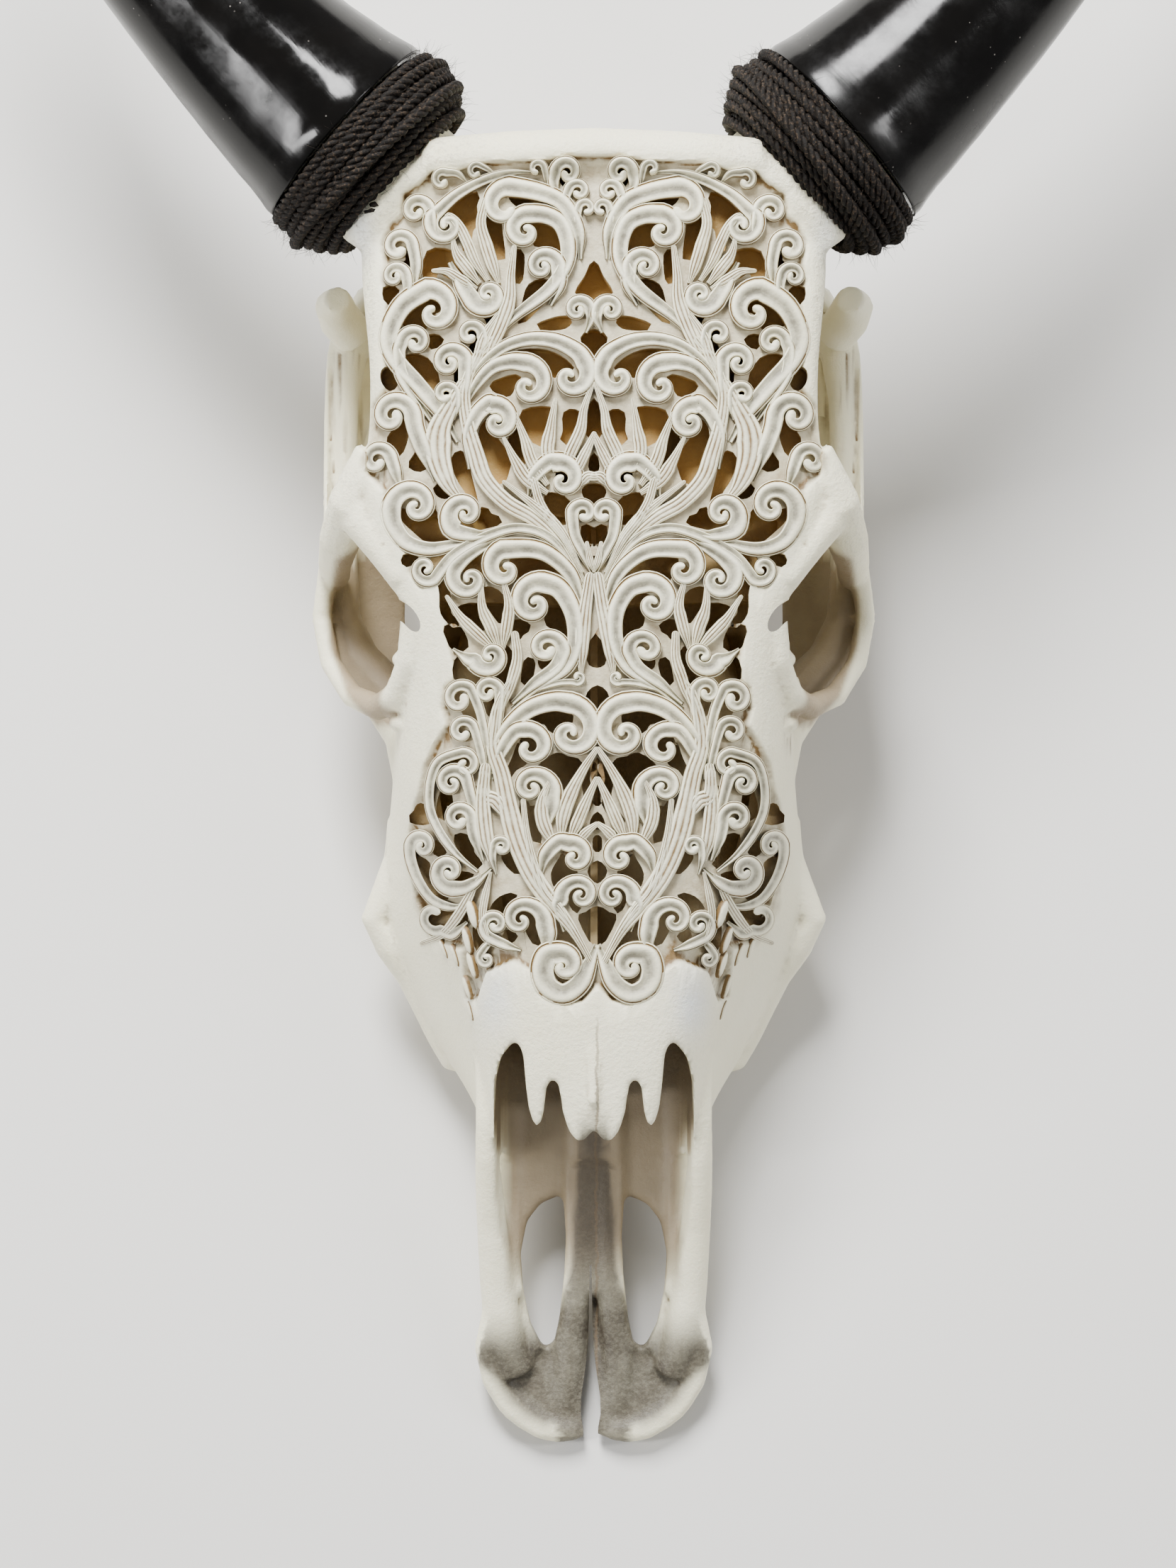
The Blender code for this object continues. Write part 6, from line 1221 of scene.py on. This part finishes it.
# Bleached bone: collagen and apatite, matt to faintly polished by the rasp, ivory where it is worn and ochre
# in the cuts, partly old dirt and partly painted shade, with painted grey shade in the ribbons' dished
# middles.
# Hollows behind the face keep their amber and brown, lightened as painted light so that the deep openings
# don't fall dark, and the eye, temple and nose hollows are tinted taupe, partly as painted shade. Its pores
# are a tenth of a millimetre and are drawn at one and a half, so that they show.
level_face = Matrix.Rotation(-REST_TILT, 4, "X") @ face
NOSE_SEAM = (level_face @ Vector((0, -84 * MM, -8 * MM))).y
SINUS_BACK = (level_face @ Vector((0, 150 * MM, -95 * MM))).z
bone, tree, shader = finish_of("bleached_bone", Roughness=0.5, Subsurface_Weight=0.08,
                               Subsurface_Scale=4 * MM)
shader.inputs["Subsurface Radius"].default_value = (1.0, 0.7, 0.45)
place = node(tree, "ShaderNodeTexCoord")
turned = node(tree, "ShaderNodeMapping", {"Vector": place.outputs["Object"], "Rotation": (-REST_TILT, 0, 0)})
broad = node(tree, "ShaderNodeTexNoise", {"Vector": turned, "Scale": per_metre(45.45), "Detail": 4.0})
chalk = node(tree, "ShaderNodeAttribute", attribute_name="chalk")
grain = node(tree, "ShaderNodeAttribute", attribute_name="grain")
coarse = node(tree, "ShaderNodeTexNoise",
              {"Vector": turned, "Scale": per_metre(1.6129), "Detail": 4.0, "Roughness": 0.7})
ivory = node(tree, "ShaderNodeMix", {"Factor": broad, "A": paint("#ece5c2"), "B": paint("#faf6dd")},
             data_type="RGBA")
mottle = node(tree, "ShaderNodeTexNoise",
             {"Vector": turned, "Scale": per_metre(6.25), "Detail": 5.0, "Roughness": 0.65})
# Creases and the sunk ground are darkened to ochre brown: partly old dirt, partly painted shade in the cuts.
crease = node(tree, "ShaderNodeAttribute", attribute_name="crease")
crease_dirt_and_shade = node(tree, "ShaderNodeMath", {0: crease.outputs["Fac"], 1: mottle}, operation="MULTIPLY")
crease_dirt_and_shade = node(tree, "ShaderNodeMath", {0: crease_dirt_and_shade, 1: 2.8}, operation="MULTIPLY", use_clamp=True)
chalky = node(tree, "ShaderNodeMath", {0: chalk.outputs["Fac"], 1: broad}, operation="MULTIPLY")
ivory = node(tree, "ShaderNodeMix", {"Factor": chalky, "A": ivory, "B": paint("#dde4f0")}, data_type="RGBA")
sandy = node(tree, "ShaderNodeMapRange", {"Value": coarse, "From Min": 0.5, "From Max": 0.68, "To Max": 0.7})
sandy = node(tree, "ShaderNodeMath", {0: sandy, 1: grain.outputs["Fac"]}, operation="MULTIPLY")
ivory = node(tree, "ShaderNodeMix", {"Factor": sandy, "A": ivory, "B": paint("#b9b2a0")}, data_type="RGBA")
# The dished middles of the ribbons and the middles of the leaves are painted grey: painted shade.
dale = node(tree, "ShaderNodeAttribute", attribute_name="dale")
dale_shade = node(tree, "ShaderNodeMath", {0: dale.outputs["Fac"], 1: mottle}, operation="MULTIPLY")
dale_shade = node(tree, "ShaderNodeMath", {0: dale_shade, 1: 2.0}, operation="MULTIPLY", use_clamp=True)
dale_shade = node(tree, "ShaderNodeMix", {"Factor": dale_shade, "A": ivory, "B": paint("#7f7a69")}, data_type="RGBA")
dirt_and_shade_in_creases = node(tree, "ShaderNodeMix", {"Factor": crease_dirt_and_shade, "A": dale_shade, "B": paint("#735a33")}, data_type="RGBA")
deep = node(tree, "ShaderNodeAttribute", attribute_name="hollow")
along = node(tree, "ShaderNodeSeparateXYZ", {"Vector": turned})
up_face = node(tree, "ShaderNodeMapRange",
               {"Value": along.outputs["Y"], "From Min": -0.10, "From Max": -0.03})
streaks = node(tree, "ShaderNodeTexNoise", {"Vector": turned, "Scale": per_metre(13.333), "Detail": 5.0})
# The hollows' amber and tan, lightened beyond their own tone: painted light, so that the deep openings don't
# fall dark.
low_inside = node(tree, "ShaderNodeMix", {"Factor": streaks, "A": paint("#bda573"), "B": paint("#dfcb9f")},
                  data_type="RGBA")
high_inside = node(tree, "ShaderNodeMix", {"Factor": streaks, "A": paint("#ad8742"), "B": paint("#d4b36f")},
                   data_type="RGBA")
near_face = node(tree, "ShaderNodeMapRange",
                 {"Value": along.outputs["Z"], "From Min": SINUS_BACK, "From Max": SINUS_BACK + 20 * MM})
amber = node(tree, "ShaderNodeMath", {0: up_face, 1: near_face}, operation="MULTIPLY")
inside_tint = node(tree, "ShaderNodeMix", {"Factor": amber, "A": low_inside, "B": high_inside},
                   data_type="RGBA")
pierced = node(tree, "ShaderNodeMix", {"Factor": deep.outputs["Fac"], "A": dirt_and_shade_in_creases, "B": inside_tint},
               data_type="RGBA")
# The hollows marked by the socket field are tinted taupe: partly their own tan, partly painted shade.
shaded = node(tree, "ShaderNodeAttribute", attribute_name="socket")
taupe = node(tree, "ShaderNodeMix", {"Factor": streaks, "A": paint("#8b7b63"), "B": paint("#ab9b7f")},
             data_type="RGBA")
hollowed = node(tree, "ShaderNodeMix", {"Factor": shaded.outputs["Fac"], "A": pierced, "B": taupe},
                data_type="RGBA")
# Darkened where the stain field says: the paddles' own stain, the keel's darker middle and the tear pit's
# painted shade.
stain_and_shade_field = node(tree, "ShaderNodeAttribute", attribute_name="stain_and_shade")
uneven = node(tree, "ShaderNodeMapRange",
              {"Value": streaks, "From Min": 0.3, "From Max": 0.65, "To Min": 0.9})
patchy = node(tree, "ShaderNodeMath", {0: stain_and_shade_field.outputs["Fac"], 1: uneven}, operation="MULTIPLY")
speckled = node(tree, "ShaderNodeMapRange",
                {"Value": coarse, "From Min": 0.38, "From Max": 0.56, "To Min": 0.93})
patchy = node(tree, "ShaderNodeMath", {0: patchy, 1: speckled}, operation="MULTIPLY")
stained_and_shaded_bone = node(tree, "ShaderNodeMix", {"Factor": patchy, "A": hollowed, "B": paint("#443d32")},
                    data_type="RGBA")
# The fine wavy seam between the nasal bones, 3.1 mm off the middle less half its 4 mm of waves
wavy = node(tree, "ShaderNodeMath", {0: mottle, 1: 4 * MM}, operation="MULTIPLY")
across = node(tree, "ShaderNodeMath", {0: along.outputs["X"], 1: wavy}, operation="ADD")
across = node(tree, "ShaderNodeMath", {0: across, 1: 3.1 * MM}, operation="SUBTRACT")
across = node(tree, "ShaderNodeMath", {0: across}, operation="ABSOLUTE")
seam = node(tree, "ShaderNodeMapRange", {"Value": across, "From Min": 0.7 * MM, "From Max": 0.3 * MM})
seam_from = node(tree, "ShaderNodeMapRange",
                 {"Value": along.outputs["Y"], "From Min": NOSE_SEAM, "From Max": NOSE_SEAM - 6 * MM})
seam = node(tree, "ShaderNodeMath", {0: seam, 1: seam_from}, operation="MULTIPLY")
seam = node(tree, "ShaderNodeMath", {0: seam, 1: broad}, operation="MULTIPLY")
final = node(tree, "ShaderNodeMix", {"Factor": seam, "A": stained_and_shaded_bone, "B": paint("#6d5a41")},
             data_type="RGBA")
tree.links.new(socket_of(final), shader.inputs["Base Color"])
polish = node(tree, "ShaderNodeMapRange", {"Value": mottle, "To Min": 0.38, "To Max": 0.62})
tree.links.new(socket_of(polish), shader.inputs["Roughness"])
pores = node(tree, "ShaderNodeTexNoise",
             {"Vector": turned, "Scale": per_metre(1.4286), "Detail": 4.0, "Roughness": 0.7})
tooled = node(tree, "ShaderNodeTexNoise", {"Vector": turned, "Scale": per_metre(8.3333), "Detail": 3.0})
pitted = node(tree, "ShaderNodeMath", {0: coarse, 1: grain.outputs["Fac"]}, operation="MULTIPLY")
pitted = node(tree, "ShaderNodeMath", {0: pitted, 1: 5.0}, operation="MULTIPLY")
rough = node(tree, "ShaderNodeMath", {0: pores, 1: tooled}, operation="ADD")
rough = node(tree, "ShaderNodeMath", {0: rough, 1: pitted}, operation="ADD")
bump = node(tree, "ShaderNodeBump", {"Height": rough, "Strength": 0.4, "Distance": 0.8 * MM})
tree.links.new(socket_of(bump), shader.inputs["Normal"])

# The bone is made a hair shorter, to stay inside the CAD model. What lies lower than 18 mm over the table is
# drawn up: the two long processes at the back, which end level with the teeth, and the snout's tips.
SKIN_LENGTH = 0.9995
LOW_BONE = 18 * MM
LOW_BONE_KEPT = 0.73
skull.data.transform(Matrix.Scale(SKIN_LENGTH, 4, (0, 1, 0)) @ face)
for vertex in skull.data.vertices:
    if vertex.co.z < LOW_BONE:
        vertex.co.z = LOW_BONE - (LOW_BONE - vertex.co.z) * LOW_BONE_KEPT
skull.name = "skull_bone"
made_skull.objects.link(skull)
workshop.objects.unlink(skull)
for piece in [skull] + relief:
    piece.data.materials.clear()
    piece.data.materials.append(bone)
    piece.data.shade_smooth()
    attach(piece, "root")
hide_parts("skull")
for spare in list(workshop.objects):
    bpy.data.objects.remove(spare)
for piece in relief + [skull]:
    bpy.ops.object.select_all(action="DESELECT")
    piece.select_set(True)
    bpy.context.view_layer.objects.active = piece
    bpy.ops.object.shade_smooth_by_angle(angle=math.radians(50))


# Cheek teeth: three premolars and three molars a side, tall folded columns of enamel round worn dentine, set
# in a trench along each jaw. The skull rests on their crowns. Each has its length, width and number of
# lobes.
TEETH = (
    ("premolar_1", 15, 15, 1), ("premolar_2", 17, 17, 1), ("premolar_3", 17, 19, 1),
    ("molar_1", 22, 22, 2), ("molar_2", 26, 24, 2), ("molar_3", 28, 23, 2),
)
# From the gum to the worn hollow in the chewing face: share of the height, and share of the tooth's width
CROWN = (
    (0.0, 0.86), (0.08, 0.93), (0.3, 0.96), (0.55, 0.98), (0.8, 0.98), (0.93, 0.96), (0.985, 0.93),
    (1.0, 0.88), (1.0, 0.74), (0.965, 0.62), (0.95, 0.1),
)
ROW_START = -112
ROW_LENGTH = 125
TABLE_DEPTH = 127.5
TOOTH_SIDES = 56
ENAMEL_LIFT = 0.05


def table_depth(y):
    """Depth of the table in the face frame at a place along the skull, in millimetres."""
    return -TABLE_DEPTH - math.tan(REST_TILT) * y


teeth = []
for side, word in ((1, "right"), (-1, "left")):
    at = ROW_START
    for name, length, width, lobes in TEETH:
        middle = at + length / 2
        out = side * (43 + 12 * math.sin((middle - ROW_START) / ROW_LENGTH * math.pi / 2))
        at += length
        top = -96 - 0.1 * middle + 5.4
        bottom = table_depth(middle)
        rings = []
        for share, size in CROWN:
            ring = []
            for k in range(TOOTH_SIDES):
                turn = 2 * math.pi * (k + 0.5) / TOOTH_SIDES
                c, s = math.cos(turn), math.sin(turn)
                square = 1 / max(abs(c), abs(s)) ** 0.62
                outside = 1 if c * side > 0 else 0
                wave = math.cos(lobes * 2 * math.pi * s * 0.98) * abs(c)
                fold = 1 + (0.035 + 0.05 * outside) * wave - 0.03 * outside
                x = out + (width / 2 - 0.3) * size * c * square * fold * 0.93
                y = middle + (length / 2 - 0.55) * size * s * square * 0.95
                low = table_depth(y) + ENAMEL_LIFT if share > 0.9 else bottom
                z = top + (low - top) * share
                if size < 0.8:
                    z += 0.5 + 0.45 * math.sin(turn * lobes * 2 + 1)
                ring.append((x * MM, y * MM, z * MM))
            rings.append(ring)
        tooth = loft(name + "_crown_" + word, rings, made_skull)
        tooth.data.transform(face)
        tooth.data.shade_smooth()
        teeth.append((tooth, name + "_" + word))

# Tooth enamel over dentine: glassy cream, stained brown in long streaks by years of cud.
enamel, tree, shader = finish_of("worn_enamel", Roughness=0.3, IOR=1.6, Subsurface_Weight=0.1,
                                 Subsurface_Scale=3 * MM)
place = node(tree, "ShaderNodeTexCoord")
streak = (per_metre(4.5455), per_metre(4.5455), per_metre(16.667))
upright = node(tree, "ShaderNodeMapping", {"Vector": place.outputs["Object"], "Scale": streak})
stain_lines = node(tree, "ShaderNodeTexNoise", {"Vector": upright, "Scale": 1.0, "Detail": 4.0})
cream = node(tree, "ShaderNodeMix", {"Factor": stain_lines, "A": paint("#8f7a52"), "B": paint("#e6dcc0")},
             data_type="RGBA")
tree.links.new(socket_of(cream), shader.inputs["Base Color"])
ridges = node(tree, "ShaderNodeBump", {"Height": stain_lines, "Strength": 0.4, "Distance": 0.4 * MM})
tree.links.new(socket_of(ridges), shader.inputs["Normal"])
for tooth, cad_name in teeth:
    tooth.data.materials.append(enamel)
    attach(tooth, "root")
    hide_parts(cad_name)


# Horn sheaths: black water-polished keratin, hollow at the base, pushed over the skull's bony cores. They
# are turned out, up and a little forward, smooth and glossy with a few fine scratches and specks of dust.
ROPE_BAND_WIDTH = 25 * MM
HORN_BASE_RADIUS = 42.2 * MM
HORN_LENGTH = 370 * MM
HORN_WALL = 5 * MM
HORN_TIP_RADIUS = 1.6 * MM
HORN_SIDES = 64
HORN_STEPS = 16
SHEATH_FIT = 0.999


def horn_spine(side):
    """The sheath's middle line as (place, share of its length), finely stepped."""
    start, heading = horn_root(side)
    place = start + heading * (ROPE_BAND_WIDTH + 0.4 * MM)
    angle = math.atan2(heading.y, abs(heading.x))
    coarse = [(place.copy(), 0.0)]
    place = place + 3 * MM * heading
    for i in range(HORN_STEPS + 1):
        share = i / HORN_STEPS
        coarse.append((place.copy(), share))
        lift = 0.02 + 0.3 * share
        flat = math.cos(lift)
        way = Vector((side * math.cos(angle) * flat, math.sin(angle) * flat, math.sin(lift)))
        place = place + HORN_LENGTH / HORN_STEPS * way
        angle += math.radians(2.2 if share < 0.2 else 4.2)
    ends = [coarse[0]] + coarse + [coarse[-1]]
    fine = []
    for (a, _), (b, s), (c, u), (d, _) in zip(ends, ends[1:], ends[2:], ends[3:]):
        for k in range(4):
            t = k / 4
            at = 0.5 * (2 * b + (c - a) * t + (2 * a - 5 * b + 4 * c - d) * t * t
                        + (3 * b - a - 3 * c + d) * t ** 3)
            fine.append((at, s + (u - s) * t))
    fine.append(coarse[-1])
    return fine


def keratin_radius(share):
    """The sheath's outer radius at a share of its length."""
    return HORN_BASE_RADIUS * (max(0.0, 1 - share) ** 0.62 * 0.86 + 0.14 * math.exp(-share * 9))


horns = []
for side, word in ((1, "right"), (-1, "left")):
    spine = horn_spine(side)
    wall = [(at, max(keratin_radius(s), HORN_TIP_RADIUS), s) for at, s in spine]
    wall[0] = (wall[0][0], wall[0][1] - 1.2 * MM, 0.0)
    wall.insert(1, (spine[1][0], keratin_radius(0.0), 0.0))
    bore_radius = keratin_radius(0) - HORN_WALL
    bore = [(at, max(bore_radius * (1 - 1.5 * s), 2 * MM), s) for at, s in spine if s < 0.5]
    profile = list(reversed(wall)) + bore
    up = Vector((0, 0, 1))
    rings = []
    for i, (at, radius, share) in enumerate(profile):
        inner = i >= len(wall)
        line = bore if inner else wall
        k = i - len(wall) if inner else len(wall) - 1 - i
        ahead = (line[min(k + 1, len(line) - 1)][0] - line[max(k - 1, 0)][0]).normalized()
        aside = ahead.cross(up).normalized()
        top = aside.cross(ahead)
        ring = []
        for step in range(HORN_SIDES):
            turn = 2 * math.pi * step / HORN_SIDES
            grown_ring = 0.12 * math.sin(share * 150) * math.exp(-share * 6)
            at_lump = Vector((share * 9, math.cos(turn) * 1.3 + side * 5, math.sin(turn) * 1.3))
            lump = noise.noise(at_lump) * 0.5
            r = radius + (0.0 if inner or share > 0.9 else (grown_ring + lump) * MM - 0.5 * MM)
            ring.append(tuple(at + r * (aside * math.cos(turn) * 0.99 + top * math.sin(turn))))
        rings.append(ring)
    sheath = loft("horn_sheath_" + word, rings, made_skull)
    sheath.data.transform(Matrix.Scale(SHEATH_FIT, 4) @ face)
    sheath.data.shade_smooth()
    horns.append((sheath, "horn_" + word))

# Polished black horn: near-black brown keratin that takes a wet shine, with dull scuffs, hair scratches
# along its length and pale dust.
keratin, tree, shader = finish_of("polished_black_horn", IOR=1.4, Specular_IOR_Level=0.36)
place = node(tree, "ShaderNodeTexCoord")
along_horn = node(tree, "ShaderNodeMapping", {"Vector": place.outputs["Object"], "Rotation": (0, 0, 0.9)})
cloud = node(tree, "ShaderNodeTexNoise", {"Vector": along_horn, "Scale": per_metre(22.222), "Detail": 5.0})
black = node(tree, "ShaderNodeMix", {"Factor": cloud, "A": paint("#020202"), "B": paint("#0c0a08")},
             data_type="RGBA")
dots = node(tree, "ShaderNodeTexVoronoi",
            {"Vector": place.outputs["Object"], "Scale": per_metre(3.8462), "Randomness": 1.0})
dust = node(tree, "ShaderNodeMapRange", {"Value": dots, "From Min": 0.10, "From Max": 0.06})
sparse = node(tree, "ShaderNodeTexNoise",
              {"Vector": place.outputs["Object"], "Scale": per_metre(16.667), "Detail": 2.0})
where = node(tree, "ShaderNodeMapRange", {"Value": sparse, "From Min": 0.5, "From Max": 0.62, "To Max": 0.5})
specks = node(tree, "ShaderNodeMath", {0: dust, 1: where}, operation="MULTIPLY")
dusty_black = node(tree, "ShaderNodeMix", {"Factor": specks, "A": black, "B": paint("#8b8680")},
                   data_type="RGBA")
tree.links.new(socket_of(dusty_black), shader.inputs["Base Color"])
scuff = node(tree, "ShaderNodeTexNoise",
             {"Vector": along_horn, "Scale": per_metre(33.333), "Detail": 6.0, "Roughness": 0.7})
dull = node(tree, "ShaderNodeMapRange",
            {"Value": scuff, "From Min": 0.35, "From Max": 0.7, "To Min": 0.08, "To Max": 0.34})
tree.links.new(socket_of(dull), shader.inputs["Roughness"])
scratch = (per_metre(25), per_metre(1.6667), per_metre(1.6667))
stretched = node(tree, "ShaderNodeMapping", {"Vector": along_horn, "Scale": scratch})
hairs = node(tree, "ShaderNodeTexNoise", {"Vector": stretched, "Scale": 1.0, "Detail": 3.0})
lines = node(tree, "ShaderNodeBump", {"Height": hairs, "Strength": 0.12, "Distance": 0.2 * MM})
tree.links.new(socket_of(lines), shader.inputs["Normal"])
for sheath, cad_name in horns:
    sheath.data.materials.append(keratin)
    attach(sheath, "root")
    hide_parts(cad_name)


# Cord bindings: old dark brown coir cord, three plies laid to the right, wound tight round the horn's root
# in a filling layer and a cover layer, with turns that cross and frayed hairs standing off it.
PLY_RADIUS = 1.2
PLY_OFFSET = 1.15
PLY_SIDES = 6
CORD_LAY = 11.5
CORD_STEP = 1.7
BUNDLE_AT_SKULL = 31.5
BUNDLE_SWELL = 9.5
HAIRS = 900


def bundle_radius(height):
    """How far the outer turns lie from the root's middle. They are gathered in at the skull."""
    share = min(1.0, max(0.0, (height + 3.5) / 16))
    return BUNDLE_AT_SKULL + BUNDLE_SWELL * math.sin(share * math.pi / 2)


def cord_round(turns, start_turn, height_at, radius_at, root, gather):
    """Three twisted plies, wound round the horn's root. Heights run out along it, in millimetres."""
    centre, out, one, two = root
    points, faces = gather
    steps = int(turns * 2 * math.pi * 40 / CORD_STEP)
    path = []
    for i in range(steps + 1):
        share = i / steps
        turn = start_turn + share * turns * 2 * math.pi
        spoke = one * math.cos(turn) + two * math.sin(turn)
        path.append((centre + out * height_at(share, turn) + spoke * radius_at(share, turn), spoke))
    travelled = 0.0
    laid = []
    for i, (at, spoke) in enumerate(path):
        if i:
            travelled += (at - path[i - 1][0]).length
        ahead = (path[min(i + 1, steps)][0] - path[max(i - 1, 0)][0]).normalized()
        over = ahead.cross(spoke).normalized()
        laid.append((at, spoke, over, 2 * math.pi * travelled / CORD_LAY))
    for ply in range(3):
        first = len(points)
        for at, spoke, over, twist in laid:
            angle = twist + ply * 2 * math.pi / 3
            middle = at + (spoke * math.cos(angle) + over * math.sin(angle)) * PLY_OFFSET
            fat = PLY_RADIUS * (1 + 0.10 * math.sin(twist * 3.1 + ply * 2))
            for k in range(PLY_SIDES):
                a = 2 * math.pi * k / PLY_SIDES
                points.append(middle + (spoke * math.cos(a) + over * math.sin(a)) * fat)
        for i in range(len(laid) - 1):
            for k in range(PLY_SIDES):
                a = first + i * PLY_SIDES + k
                b = first + i * PLY_SIDES + (k + 1) % PLY_SIDES
                faces.append((a, b, b + PLY_SIDES, a + PLY_SIDES))
        last = first + (len(laid) - 1) * PLY_SIDES
        faces.append(tuple(range(first, first + PLY_SIDES)))
        faces.append(tuple(range(last, last + PLY_SIDES)))


def frayed_hair(root, chance, gather):
    """One loose fibre that stands off the binding: a thin three-sided taper in three bent steps."""
    centre, out, one, two = root
    points, faces = gather
    turn = chance.uniform(0, 2 * math.pi)
    spoke = one * math.cos(turn) + two * math.sin(turn)
    around = out.cross(spoke)
    height = chance.uniform(-3, 24)
    at = centre + out * height + spoke * (bundle_radius(height) + chance.uniform(0.5, 2.4))
    way = spoke * chance.uniform(0.15, 1.0) + around * chance.uniform(-1,
                                                                      1) + out * chance.uniform(-0.8, 0.8)
    way.normalize()
    curl = Vector((chance.uniform(-1, 1), chance.uniform(-1, 1), chance.uniform(-1, 1))) * 0.35
    length = chance.uniform(3, 9)
    first = len(points)
    thick = chance.uniform(0.07, 0.13)
    aside = way.orthogonal().normalized()
    other = way.cross(aside)
    for step in range(4):
        for c in range(3):
            a = 2 * math.pi * c / 3
            points.append(at + (aside * math.cos(a) + other * math.sin(a)) * thick * (1 - 0.25 * step))
        way = (way + curl).normalized()
        at = at + way * length / 3
    for step in range(3):
        for c in range(3):
            a, b = first + step * 3 + c, first + step * 3 + (c + 1) % 3
            faces.append((a, b, b + 3, a + 3))
    faces.append((first, first + 1, first + 2))
    faces.append((first + 9, first + 10, first + 11))


bindings = []
for side, word in ((1, "right"), (-1, "left")):
    start, heading = horn_root(side)
    one = heading.cross(Vector((0, 0, 1))).normalized()
    root = (start / MM, heading, one, one.cross(heading).normalized())
    chance = random.Random(90 + side)
    waves = [(chance.uniform(0.6, 3.4), chance.uniform(0, 6.3), chance.uniform(0.25, 0.6)) for _ in range(4)]

    def wander(turn, waves=waves):
        return sum(size * math.sin(rate * turn + offset) for rate, offset, size in waves)

    gather = ([], [])
    # The filling layer, the cover layer, and the turns that cross it
    cord_round(5.6, 0.4, lambda s, t: -1.5 + 25 * s,
               lambda s, t: bundle_radius(-1.5 + 25 * s) - 3.6 + 0.3 * wander(t * 1.7), root, gather)
    cord_round(7.2, 2.0, lambda s, t: -3.5 + 26.6 * s + 0.7 * wander(t),
               lambda s, t: bundle_radius(-3.5 + 26.6 * s) + 0.5 * wander(t * 1.3 + 2), root, gather)
    cord_round(1.7, 4.4, lambda s, t: 3 + 16 * s + 1.5 * math.sin(t * 1.5),
               lambda s, t: bundle_radius(3 + 16 * s) - 0.6 + 3.2 * math.sin(math.pi * min(1,
                                                                                           s * 1.02)) ** 0.5,
               root, gather)
    for _ in range(HAIRS):
        frayed_hair(root, chance, gather)
    mesh = mesh_of("cord_binding_" + word, *gather)
    turned_outwards(mesh)
    mesh.transform(face)
    mesh.shade_smooth()
    bindings.append((mesh_object("cord_binding_" + word, mesh, made_skull), "rope_binding_" + word))

# Coir cord: dark, dry coconut hair, matt, with paler strands, partly worn pale fibres and partly painted
# highlights, and near-black gaps. Its hairs lie a fraction of a millimetre apart, and are drawn at about one
# millimetre so that they show.
coir, tree, shader = finish_of("coir_cord", Roughness=0.7, Specular_IOR_Level=0.2)
place = node(tree, "ShaderNodeTexCoord")
strands = node(tree, "ShaderNodeTexNoise", {"Vector": place.outputs["Object"], "Scale": per_metre(1.1111),
                                            "Detail": 4.0, "Roughness": 0.7})
patches = node(tree, "ShaderNodeTexNoise",
               {"Vector": place.outputs["Object"], "Scale": per_metre(14.286), "Detail": 3.0})
dark = node(tree, "ShaderNodeMix", {"Factor": patches, "A": paint("#060504"), "B": paint("#16110d")},
            data_type="RGBA")
# Pale specks along the strands: partly paler fibres, partly painted highlights on the cord's lumps.
pale = node(tree, "ShaderNodeMapRange",
            {"Value": strands, "From Min": 0.52, "From Max": 0.74, "To Max": 0.42})
fibres_and_glints = node(tree, "ShaderNodeMix", {"Factor": pale, "A": dark, "B": paint("#78634e")}, data_type="RGBA")
tree.links.new(socket_of(fibres_and_glints), shader.inputs["Base Color"])
hairy = node(tree, "ShaderNodeBump", {"Height": strands, "Strength": 0.8, "Distance": 0.6 * MM})
tree.links.new(socket_of(hairy), shader.inputs["Normal"])
for binding, cad_name in bindings:
    binding.data.materials.append(coir)
    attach(binding, "root")
    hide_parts(cad_name)
